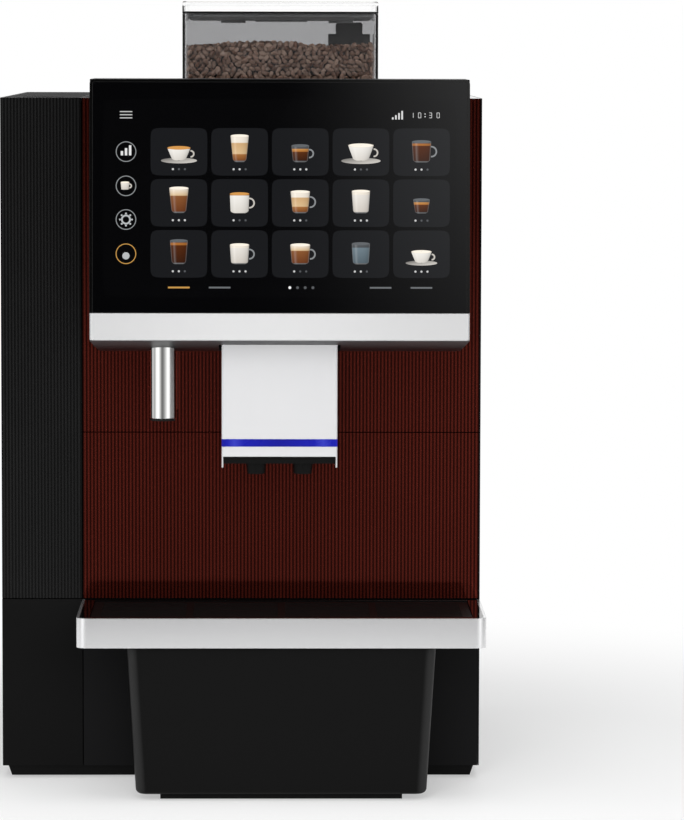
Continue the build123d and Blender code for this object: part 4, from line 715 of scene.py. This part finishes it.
def roasted():
    """Roasted coffee: brown skin from dark to mid roast, a paler line in the crease, faint wrinkles 1.5 mm
    apart, and a thin film of oil that gives small soft lights. Painted shade darkens the colour where beans
    touch, where little light gets in."""
    material = finish(
        "roasted_bean_painted_gap_shade",
        "#6b4a3b",
        0.30,
        other="#8f6a56",
        mottle_mm=5.0,
        grain_mm=1.5,
        grain_depth=0.12,
        edge_mm=0.05,
    )
    tree = material.node_tree
    for mark, code in (("roast", "#c2a08c"), ("crease", "#e0c6b2")):
        repaint(material, add(tree, "ShaderNodeAttribute", attribute_name=mark).outputs["Fac"], code)
    # Painted shade: the colour runs to near black where beans touch and little light gets in.
    painted_gap_shade = add(tree, "ShaderNodeAmbientOcclusion", {"Distance": 2.2 * MM}, only_local=True, samples=6)
    painted_shade_share = {"Value": painted_gap_shade.outputs["AO"], "From Min": 0.85, "From Max": 0.30}
    repaint(material, add(tree, "ShaderNodeMapRange", painted_shade_share).outputs["Result"], "#150c08")
    return material


def riding_piece(name, points, faces, material, body, smooth=True):
    """A piece from arrays of points in metres and a list of faces, riding on a body."""
    piece = new_object(name, points, faces, material, smooth)
    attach(piece, body)
    return piece


def pour_beans():
    """All beans as one piece: the bean shape scaled, turned and moved to every place, with its roast."""
    shape, sides, ends, sunk = bean_shape()
    centres, turns = bean_places()
    count, each = len(centres), len(shape)
    length = chance.uniform(*bean_length, count)
    width, height = chance.uniform(0.92, 1.12, count), chance.uniform(0.9, 1.1, count)
    sizes = length[:, None] * np.stack([np.ones(count), width, height], -1)
    points = (shape[None] * sizes[:, None, :]) @ np.transpose(turns, (0, 2, 1)) + centres[:, None, :]
    low = hopper_low + [wall_gap, wall_gap, 0.05]
    high = hopper_high + [-wall_gap, -wall_gap, 2.5]
    points = np.clip(points, low, high).reshape(-1, 3)
    shift = (np.arange(count) * each)[:, None, None]
    faces = (sides[None] + shift).reshape(-1, 4).tolist() + (ends[None] + shift).reshape(-1, 3).tolist()
    piece = riding_piece("bean_heap", points * MM, faces, roasted(), "machine")
    roast = np.repeat(chance.uniform(0.0, 1.0, count) ** 1.6, each)
    for name, values in (("roast", roast), ("crease", np.tile(sunk * 0.85, count))):
        layer = piece.data.attributes.new(name, "FLOAT", "POINT")
        layer.data.foreach_set("value", values.astype(np.float32))
    return piece


def bean_shade_core():
    """A dark filler as painted shade in the unlit middle of the heap: a rounded rectangle's outline that
    widens over the floor, goes up as a wall and narrows again over the top, which lies 3 mm under the heap's
    height."""
    rows, columns, shut, wall_foot, wall_top = 18, 96, 0.02, 0.25, 0.5
    turn, rise = around(columns), np.linspace(0, 1, rows)[:, None]
    widening = shut + (1 - shut) * rise / wall_foot
    narrowing = shut + (1 - shut) * (1 - rise) / (1 - wall_top)
    spread = np.select([rise < wall_foot, rise < wall_top], [widening, 1.0], narrowing)
    half = (hopper_high - hopper_low) / 2 - 3.6
    reach = square_reach(turn, 12) * spread
    x = hopper_middle[0] + half[0] * reach * np.cos(turn)
    y = hopper_middle[1] + half[1] * reach * np.sin(turn)
    top, foot = heap_height(x, y) - 3.0, floor_up + 0.5
    wall = foot + (top - floor_up - 1.0) * (rise - wall_foot) / (wall_top - wall_foot)
    z = np.select([rise < wall_foot, rise < wall_top], [foot, wall], top)
    points = np.stack([x, y, z], -1).reshape(-1, 3)
    lids = [list(range(columns - 1, -1, -1)), list(range((rows - 1) * columns, rows * columns))]
    faces = grid_faces(rows, columns, True).tolist() + lids
    # Painted shade seen between the beans: brown-black and dull
    dark = finish("bean_shadow", "#1e120b", 0.6, mottle_mm=7.0, grain_mm=4.0, grain_depth=0.8)
    return riding_piece("bean_shade_core", points * MM, faces, dark, "machine")


beans = pour_beans()
core = bean_shade_core()
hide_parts("coffee_beans")


# Screen picture

# Places on it are in mm: u across from the glass's middle, v up from its foot, and lift off it
lean_back = math.radians(5)
band_low, band_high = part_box("head_trim_band")
glass_foot = np.array([(band_low[0] + band_high[0]) / 2, band_low[1], band_high[2]])
along_glass = np.array([1.0, 0.0, 0.0])
up_glass = np.array([0.0, math.sin(lean_back), math.cos(lean_back)])
off_glass = np.array([0.0, -math.cos(lean_back), math.sin(lean_back)])
patches = {"points": [], "faces": [], "colours": [], "count": 0}

# Lifts off the glass: the black page, its tiles and single signs, the marks on tiles and buttons, and a
# drink's handle, body and rim
page_lift, tile_lift, sign_lift, mark_lift = 0.03, 0.06, 0.07, 0.09
handle_lift, body_lift, rim_lift = 0.10, 0.11, 0.13


def lay_patch(u, v, lift, colours, closed=False):
    """Lays a grid of points on the glass: its foot, plus u, v and lift along their three directions."""
    u, v = np.broadcast_arrays(u, v)
    rows, columns = u.shape
    flat = u.reshape(-1, 1) * MM * along_glass + v.reshape(-1, 1) * MM * up_glass
    patches["points"].append(glass_foot + flat + lift * MM * off_glass)
    patches["faces"].append(grid_faces(rows, columns, closed) + patches["count"])
    patches["colours"].append(np.broadcast_to(colours, (rows, columns, 3)).reshape(-1, 3))
    patches["count"] += rows * columns


def colour(code):
    """Linear red, green and blue of a hex code."""
    return np.array(srgb(code)[:3])


def bar(u, v, half_u, half_v, code, lift):
    """A small rectangle."""
    across, up = np.array([[-half_u, half_u]] * 2), np.array([[-half_v] * 2, [half_v] * 2])
    lay_patch(u + across, v + up, lift, colour(code))


def plate(u, v, half_u, half_v, code, lift, bend=9.0):
    """A rounded tile: a superellipse of the given bend round a small rectangle in its middle."""
    turn, hub = around(64), 0.02
    reach = np.array([hub, 1.0])[:, None] * square_reach(turn, bend)
    u_edge, v_edge = u + half_u * reach * np.cos(turn), v + half_v * reach * np.sin(turn)
    lay_patch(u_edge, v_edge, lift, colour(code), True)
    bar(u, v, hub * half_u, hub * half_v, code, lift)


def dot(u, v, radius, code, lift):
    """A round spot."""
    plate(u, v, radius, radius, code, lift, bend=2.0)


def hoop(u, v, radius, width, code, lift, begin=0.0, end=360.0):
    """A ring or an arc of a given width."""
    turn = np.radians(np.linspace(begin, end, 33))[None, :]
    out = radius + np.array([-width / 2, width / 2])[:, None]
    lay_patch(u + out * np.cos(turn), v + out * np.sin(turn), lift, colour(code))


def banded(up, bands):
    """Colours by height, from 0 to 1: within each band from its first colour to its second."""
    tone = np.zeros((*up.shape, 3))
    for low, high, begin, end in bands:
        share = np.clip((up - low) / (high - low), 0, 1)[..., None]
        inside = ((up >= low) & (up <= high + 1e-6))[..., None]
        tone = np.where(inside, colour(begin) * (1 - share) + colour(end) * share, tone)
    return tone


def saucer_plate(u, v, half_u, half_v):
    """A saucer seen from a little above: an ellipse that is lighter on one side."""
    turn, out = around(40), np.linspace(0.05, 1, 4)[:, None]
    light = (0.55 + 0.3 * np.sin(turn + 2.4) * out)[..., None] * colour("#e2ddd6")
    lay_patch(u + half_u * out * np.cos(turn), v + half_v * out * np.sin(turn), mark_lift, light, True)


def drink(u, foot, height, foot_half, rim_half, bands, glass=True, handle=False, saucer=False, size=1.0):
    """A drink in its glass or cup: half-width grows from foot to rim with a rounded foot, colours change with
    height at the bands, and the shade across falls off like a round body lit from the upper left."""
    height, foot_half, rim_half = height * size, foot_half * size, rim_half * size
    across, up = np.linspace(-1, 1, 15)[None, :], np.linspace(0, 1, 29)[:, None]
    half = foot_half + (rim_half - foot_half) * up**0.9
    half = half * (1 - (1 - np.clip(up / 0.12, 0, 1)) ** 2 * 0.35)
    shade = 0.50 + 0.55 * np.sqrt(np.clip(1 - (across + 0.25) ** 2 * 0.62, 0, 1))
    shine = (0.6 if glass else 0.3) * 0.16 * np.exp(-(((across + 0.55) / 0.12) ** 2))
    tone = banded(up + 0 * across, bands) * shade[..., None] + shine[..., None]
    if glass:
        wall = (np.abs(across) > 0.92)[..., None] | (up < 0.06)[..., None]
        tone = np.where(wall, tone * 0.5 + 0.10, tone)
    if saucer:
        saucer_plate(u, foot + 1.0 * size, rim_half * 1.55, rim_half * 0.24)
        foot = foot + 1.2 * size
    if handle:
        code = "#8b8e90" if glass else "#c9c4bc"
        middle = foot + height * 0.52
        hoop(u + rim_half * 1.02, middle, height * 0.24, 1.1 * size, code, handle_lift, -95, 95)
    lay_patch(u + half * across, foot + height * up, body_lift, tone)
    # The rim is a thin ellipse of the topmost colour
    turn, out = around(32), np.array([0.05, 0.86, 1.0])[:, None]
    top = tone[-1, 7] * np.array([1.15, 1.15, 0.75])[:, None, None] + 0 * turn[..., None]
    u_rim, v_rim = u + rim_half * out * np.cos(turn), foot + height + rim_half * 0.16 * out * np.sin(turn)
    lay_patch(u_rim, v_rim, rim_lift, top, True)


def seven_bar(u, v, digit, size, code, lift):
    """One number of seven bars, as on a clock. Each bar has its place in half-heights and lies or stands."""
    lying = {"a": (0, 1), "g": (0, 0), "d": (0, -1)}
    standing = {"f": (-0.5, 0.5), "b": (0.5, 0.5), "e": (-0.5, -0.5), "c": (0.5, -0.5)}
    length, width = size * 0.46, size * 0.10
    for name in {0: "abcdef", 1: "bc", 3: "abgcd"}[digit]:
        x, y = (lying | standing)[name]
        half = (length, width) if name in lying else (width, length)
        bar(u + x * size, v + y * size, *half, code, lift)


# What is in the glasses and cups, in bands from the foot at 0 to the rim at 1: where a band begins and ends,
# and its colours there
coffee, crema, milk, foam, cocoa = "#3a1d0e", "#a8692f", "#d9b98c", "#efe6d8", "#6b3a1e"
light_crema, glassy, light_glassy = "#c98f4c", "#4a4d50", "#5c5f62"
thick_foot = (0, 0.07, glassy, glassy)
white_china = (0, 0.9, "#d8d3cb", "#efece6")
short = [
    (0, 0.1, glassy, glassy),
    (0.1, 0.62, coffee, "#5a2f14"),
    (0.62, 0.8, crema, light_crema),
    (0.8, 1.0, glassy, light_glassy),
]
long = [
    thick_foot,
    (0.07, 0.82, coffee, "#54290f"),
    (0.82, 0.9, crema, crema),
    (0.9, 1.0, glassy, light_glassy),
]
layered = [
    thick_foot,
    (0.07, 0.3, "#7d4a25", "#a86f3c"),
    (0.3, 0.72, milk, "#cfa878"),
    (0.72, 1.0, foam, foam),
]
milky = [thick_foot, (0.07, 0.85, "#cfc8bf", "#e6e1da"), (0.85, 1.0, foam, foam)]
shake = [thick_foot, (0.07, 0.7, cocoa, "#8a5630"), (0.7, 1.0, milk, foam)]
water = [thick_foot, (0.07, 0.8, "#55636b", "#6d7d86"), (0.8, 1.0, glassy, light_glassy)]
black_cup = [white_china, (0.9, 1.0, crema, light_crema)]
white_cup = [white_china, (0.9, 1.0, foam, foam)]

# The kinds of vessel, and for each drink on the page its content, its vessel, and in mm its height and half
# its width at foot and rim
tumbler = {}
handled = {"handle": True}
mug = {"glass": False, "handle": True}
cup = {"glass": False, "handle": True, "saucer": True}
menu = [
    (black_cup, cup, 9.0, 4.4, 8.4),
    (layered, tumbler, 19.0, 4.6, 6.6),
    (short, handled, 12.0, 5.2, 6.4),
    (white_cup, cup, 11.0, 5.0, 9.2),
    (long, handled, 15.0, 6.0, 7.0),
    (shake, tumbler, 18.0, 5.0, 7.0),
    (black_cup, mug, 14.0, 6.4, 7.0),
    (layered, handled, 15.5, 5.4, 7.0),
    (milky, tumbler, 16.0, 5.4, 6.6),
    (short, tumbler, 10.0, 4.4, 6.0),
    (long, tumbler, 17.0, 5.0, 6.4),
    (milky, handled, 14.0, 6.0, 7.0),
    (shake, handled, 14.0, 6.0, 7.2),
    (water, tumbler, 15.0, 5.6, 6.6),
    (white_cup, cup, 8.0, 4.0, 7.4),
]

gold, pale, white = "#c9974f", "#b9bcbe", "#dcdcdc"


def drink_tiles():
    """Three rows of five tiles, each with a drink and three dots for its strength."""
    left, top, step_u, step_v = -84.0, 134.5, 50.5, 42.5
    for place, (bands, vessel, height, foot_half, rim_half) in enumerate(menu):
        row, column = divmod(place, 5)
        u, v = left + step_u * column, top - step_v * row
        plate(u, v, 23.6, 19.8, "#191a1c", tile_lift)
        drink(u, v - 8.5, height, foot_half, rim_half, bands, size=1.15, **vessel)
        for strength in range(3):
            code = "#c9c9c9" if strength <= (place * 7) % 3 else "#55575a"
            dot(u - 5 + 5 * strength, v - 14.5, 0.9, code, mark_lift)


def side_bar():
    """Four round buttons up the left: one with a dot, one with a wheel, one with a cup and one with bars."""
    u, places = -128.0, (49.5, 78.0, 106.0, 134.5)
    for v in places:
        hoop(u, v, 8.2, 0.7, gold if v == places[0] else "#8f9294", sign_lift)
    dot(u, places[0] - 1.7, 3.0, pale, mark_lift)
    hoop(u, places[1], 3.4, 1.4, pale, mark_lift)
    for spoke in range(8):
        turn = math.radians(45 * spoke)
        dot(u + 5.0 * math.cos(turn), places[1] + 5.0 * math.sin(turn), 0.8, pale, mark_lift)
    drink(u - 0.8, places[2] - 3.4, 6.5, 3.0, 3.6, milky, **mug)
    for step in range(3):
        half = 1.8 + 1.2 * step
        bar(u - 3.4 + 3.4 * step, places[3] - 1.3 + 1.2 * step, 1.0, half, "#e8e8e8", mark_lift)


def head_line():
    """The line at the top: a clock with its colon, four bars of reception, and three lines at the left."""
    clock_left, clock_middle, foot, size = 110.0, 165.2, 162.6, 2.1
    for place, number in enumerate((1, 0, 3, 0)):
        u = clock_left + 6.4 * place + (2.6 if place > 1 else 0)
        seven_bar(u, clock_middle, number, size, white, sign_lift)
    for v in (clock_middle - 1.1, clock_middle + 1.1):
        dot(clock_left + 10.9, v, 0.5, white, sign_lift)
    for step in range(4):
        half = 0.9 + 0.9 * step
        bar(clock_left - 16.0 + 2.6 * step, foot + 0.9 * step, 0.7, half, white, sign_lift)
    for step in range(3):
        bar(-128.0, foot + 2.6 * step, 5.2, 0.4, "#c9c9c9", sign_lift)


def foot_line():
    """The line at the foot: four page dots between two pairs of bars. The first dot and bar are lit."""
    v = 21.5
    for place in range(4):
        dot(8.4 + 6.4 * place, v, 1.2, "#f0f0f0" if place == 0 else "#5a5c5f", sign_lift)
    for place, u in enumerate((-84.0, -50.0, 84.0, 118.0)):
        bar(u, v, 9.0, 0.7, gold if place == 0 else "#6c6f72", sign_lift)


def lit_pixels():
    """The lit picture behind the glass: each colour glows as it is, under the same gloss as the glass round
    it."""
    material = gloss_black_glass("lit_pixels", 0.01)
    tree, surface, _ = open_up(material)
    shown = add(tree, "ShaderNodeAttribute", attribute_name="picture").outputs["Color"]
    tree.links.new(shown, surface.inputs["Emission Color"])
    surface.inputs["Emission Strength"].default_value = 1.0
    return material


def screen_picture():
    """The touch screen's start page as one piece, laid patch by patch, with the colours as an attribute. It
    fills the lit area of the panel, 294 by 165 mm."""
    middle_up, half_width, half_height = 95.8, 147.0, 82.5
    plate(0.0, middle_up, half_width, half_height, "#020202", page_lift, bend=60.0)
    drink_tiles()
    side_bar()
    head_line()
    foot_line()
    points, faces, tones = (np.vstack(patches[kind]) for kind in ("points", "faces", "colours"))
    piece = riding_piece("screen_picture", points, faces.tolist(), lit_pixels(), "machine", smooth=False)
    layer = piece.data.attributes.new("picture", "FLOAT_COLOR", "POINT")
    layer.data.foreach_set("color", np.insert(tones, 3, 1.0, axis=1).astype(np.float32).ravel())
    return piece


picture = screen_picture()


# Studio


def seen_by(tree, *rays):
    """A share that is 1 for the named kinds of ray and 0 for all others."""
    path = add(tree, "ShaderNodeLightPath").outputs
    whole = path[rays[0]]
    for ray in rays[1:]:
        whole = add(tree, "ShaderNodeMath", {0: whole, 1: path[ray]}, operation="MAXIMUM").outputs[0]
    return whole


def floor_finish():
    """A pale studio floor: matt white that keeps the shadow near the machine and runs out to white at its
    rim, as the camera, metal and glass see it."""
    material, tree, output = empty_material("studio_floor")
    place = add(tree, "ShaderNodeTexCoord").outputs["Object"]
    far = add(tree, "ShaderNodeVectorMath", {0: place}, operation="LENGTH").outputs["Value"]
    fading = {"Value": far, "From Min": 0.40, "From Max": 0.95, "To Min": 0.45, "To Max": 1.0}
    fading = add(tree, "ShaderNodeMapRange", fading, interpolation_type="SMOOTHSTEP").outputs["Result"]
    seen = seen_by(tree, "Is Camera Ray", "Is Transmission Ray", "Is Glossy Ray")
    share = add(tree, "ShaderNodeMath", {0: fading, 1: seen}, operation="MULTIPLY").outputs[0]
    matt = add(tree, "ShaderNodeBsdfDiffuse", {"Color": srgb("#f4f4f4")}).outputs["BSDF"]
    glow = add(tree, "ShaderNodeEmission", {"Color": grey(1.0), "Strength": 1.0}).outputs["Emission"]
    mixed = add(tree, "ShaderNodeMixShader", {0: share, 1: matt, 2: glow})
    tree.links.new(mixed.outputs["Shader"], output.inputs["Surface"])
    return material


def studio_floor(radius=1.3, rings=12, columns=96):
    """A flat disc, in metres, just under the height the feet stand on: rings of points round its middle."""
    turn, out = around(columns), np.linspace(0.01, radius, rings)[:, None]
    x, y = out * np.cos(turn), out * np.sin(turn)
    points = np.stack([x, y, np.full_like(x, -0.2 * MM)], -1).reshape(-1, 3)
    faces = grid_faces(rings, columns, True)[:, ::-1].tolist() + [list(range(columns))]
    floor = new_object("studio_floor", points, faces, floor_finish(), smooth=False)


studio_floor()

# How bright the room is round the machine, by direction in degrees from straight ahead of its front towards
# its right: soft boxes at both sides, dark between them in front, white behind
ring = [
    (-180, 1.0),
    (-160, 0.9),
    (-144, 0.06),
    (-116, 0.10),
    (-104, 0.60),
    (-92, 0.66),
    (-79, 0.30),
    (-69, 0.46),
    (-56, 0.98),
    (-44, 1.15),
    (-32, 0.85),
    (-21, 0.42),
    (-12, 0.10),
    (-4, 0.02),
    (0.4, 0.02),
    (3, 0.08),
    (6, 0.10),
    (14, 0.24),
    (23, 0.46),
    (32, 0.72),
    (42, 1.05),
    (51, 1.08),
    (60, 0.79),
    (71, 0.48),
    (82, 0.30),
    (94, 0.20),
    (118, 0.16),
    (144, 0.16),
    (160, 0.9),
    (180, 1.0),
]
# The share of it that is left by height, from straight down at 0 to straight up at 1
heights = [(0.0, 0.0), (0.30, 0.15), (0.40, 1.0), (0.90, 1.0), (0.97, 0.4)]
# A colour ramp holds values up to 1, so the ring is divided by this in it and multiplied again after it
brightest = 2.0


def room_light(tree):
    """The room by direction: the ring times the heights, plus a small card low on the right, which the
    leaning glass picks up, plus the dim floor of the room far in front and below."""
    way = add(tree, "ShaderNodeTexCoord").outputs["Generated"]
    right, back, up = add(tree, "ShaderNodeSeparateXYZ", {"Vector": way}).outputs
    ahead = add(tree, "ShaderNodeMath", {0: back, 1: -1.0}, operation="MULTIPLY").outputs[0]
    azimuth = add(tree, "ShaderNodeMath", {0: right, 1: ahead}, operation="ARCTAN2").outputs[0]
    # Each share goes from 0 to its highest value while a direction goes from one value to another
    shares = {}
    for name, direction, begin, end, highest, course in (
        ("ring", azimuth, -math.pi, math.pi, 1.0, "LINEAR"),
        ("heights", up, -1.0, 1.0, 1.0, "LINEAR"),
        ("card_left", azimuth, 0.0, 0.065, 1.0, "SMOOTHSTEP"),
        ("card_right", azimuth, 0.22, 0.10, 1.0, "LINEAR"),
        ("card_foot", up, 0.085, 0.19, 1.0, "LINEAR"),
        ("floor_below", up, -0.03, -0.06, 0.16, "LINEAR"),
        ("floor_ahead", ahead, 0.0, 0.3, 1.0, "LINEAR"),
    ):
        inputs = {"Value": direction, "From Min": begin, "From Max": end, "To Max": highest}
        node = add(tree, "ShaderNodeMapRange", inputs, interpolation_type=course)
        shares[name] = node.outputs["Result"]
    ring_marks = [((degrees + 180) / 360, grey(light / brightest)) for degrees, light in ring]
    height_marks = [(height, grey(light)) for height, light in heights]
    by_ring = add(tree, "ShaderNodeValToRGB", {"Fac": shares["ring"]}, marks=ring_marks)
    by_height = add(tree, "ShaderNodeValToRGB", {"Fac": shares["heights"]}, marks=height_marks)
    boxes = {0: by_ring.outputs["Color"], 1: by_height.outputs["Color"]}
    boxes = add(tree, "ShaderNodeVectorMath", boxes, operation="MULTIPLY").outputs["Vector"]
    light = {0: boxes, "Scale": brightest}
    light = add(tree, "ShaderNodeVectorMath", light, operation="SCALE").outputs["Vector"]
    for first, *others in (("card_left", "card_foot", "card_right"), ("floor_below", "floor_ahead")):
        more = shares[first]
        for name in others:
            more = add(tree, "ShaderNodeMath", {0: more, 1: shares[name]}, operation="MULTIPLY").outputs[0]
        light = add(tree, "ShaderNodeVectorMath", {0: light, 1: more}, operation="ADD").outputs["Vector"]
    return light


def studio_world():
    """The room's light on the machine. The camera and clear plastic see plain white."""
    world = bpy.data.worlds.new("studio")
    bpy.context.scene.world = world
    world.use_nodes = True
    tree = world.node_tree
    tree.nodes.clear()
    seen = seen_by(tree, "Is Camera Ray", "Is Transmission Ray")
    shown = {"Factor": seen, 6: room_light(tree), 7: grey(1.0)}
    shown = add(tree, "ShaderNodeMix", shown, data_type="RGBA").outputs[2]
    back = add(tree, "ShaderNodeBackground", {"Color": shown, "Strength": 1.0})
    add(tree, "ShaderNodeOutputWorld", {"Surface": back.outputs["Background"]})


studio_world()


def lamp(name, place, aim, size, power):
    """A square soft box. Its own mirror image is left to the room, so that it only lights."""
    light = bpy.data.lights.new(name, "AREA")
    light.shape = "SQUARE"
    light.size = size
    light.energy = power
    holder = bpy.data.objects.new(name, light)
    holder.location = place
    holder.rotation_euler = (Vector(aim) - Vector(place)).to_track_quat("-Z", "Y").to_euler()
    holder.visible_glossy = False
    holder.visible_camera = False
    bpy.context.scene.collection.objects.link(holder)


lamp("front_box", (-0.6, -3.2, 1.9), (0, 0, 0.3), size=1.6, power=24)
lamp("near_box", (0.02, -0.80, 0.33), (0.03, -0.25, 0.30), size=0.20, power=1.25)
lamp("top_box", (0.2, -0.3, 3.0), (0, 0, 0.3), size=1.8, power=40)

# Camera


def camera():
    """The photograph's eye: a long lens 3.77 m ahead of the origin and 3 cm above the head's top, looking
    slightly down. Yaw is to the right, pitch down and roll anticlockwise, in radians."""
    eye_place = (0.0272, -3.7700, 0.6340)
    yaw, pitch, roll = 0.01632, 0.08644, 0.00240
    eye = bpy.data.cameras.new("eye")
    eye.sensor_width = 36.0
    eye.lens = 186.57
    holder = bpy.data.objects.new("eye", eye)
    ahead = Vector((math.sin(yaw) * math.cos(pitch), math.cos(yaw) * math.cos(pitch), -math.sin(pitch)))
    right = Vector((math.cos(yaw), -math.sin(yaw), 0.0))
    up = right.cross(ahead)
    turned_right = right * math.cos(roll) + up * math.sin(roll)
    turned_up = up * math.cos(roll) - right * math.sin(roll)
    basis = Matrix((turned_right, turned_up, -ahead)).transposed().to_4x4()
    holder.matrix_world = Matrix.Translation(eye_place) @ basis
    bpy.context.scene.collection.objects.link(holder)
    bpy.context.scene.camera = holder


camera()
bpy.context.scene.view_settings.view_transform = "Standard"
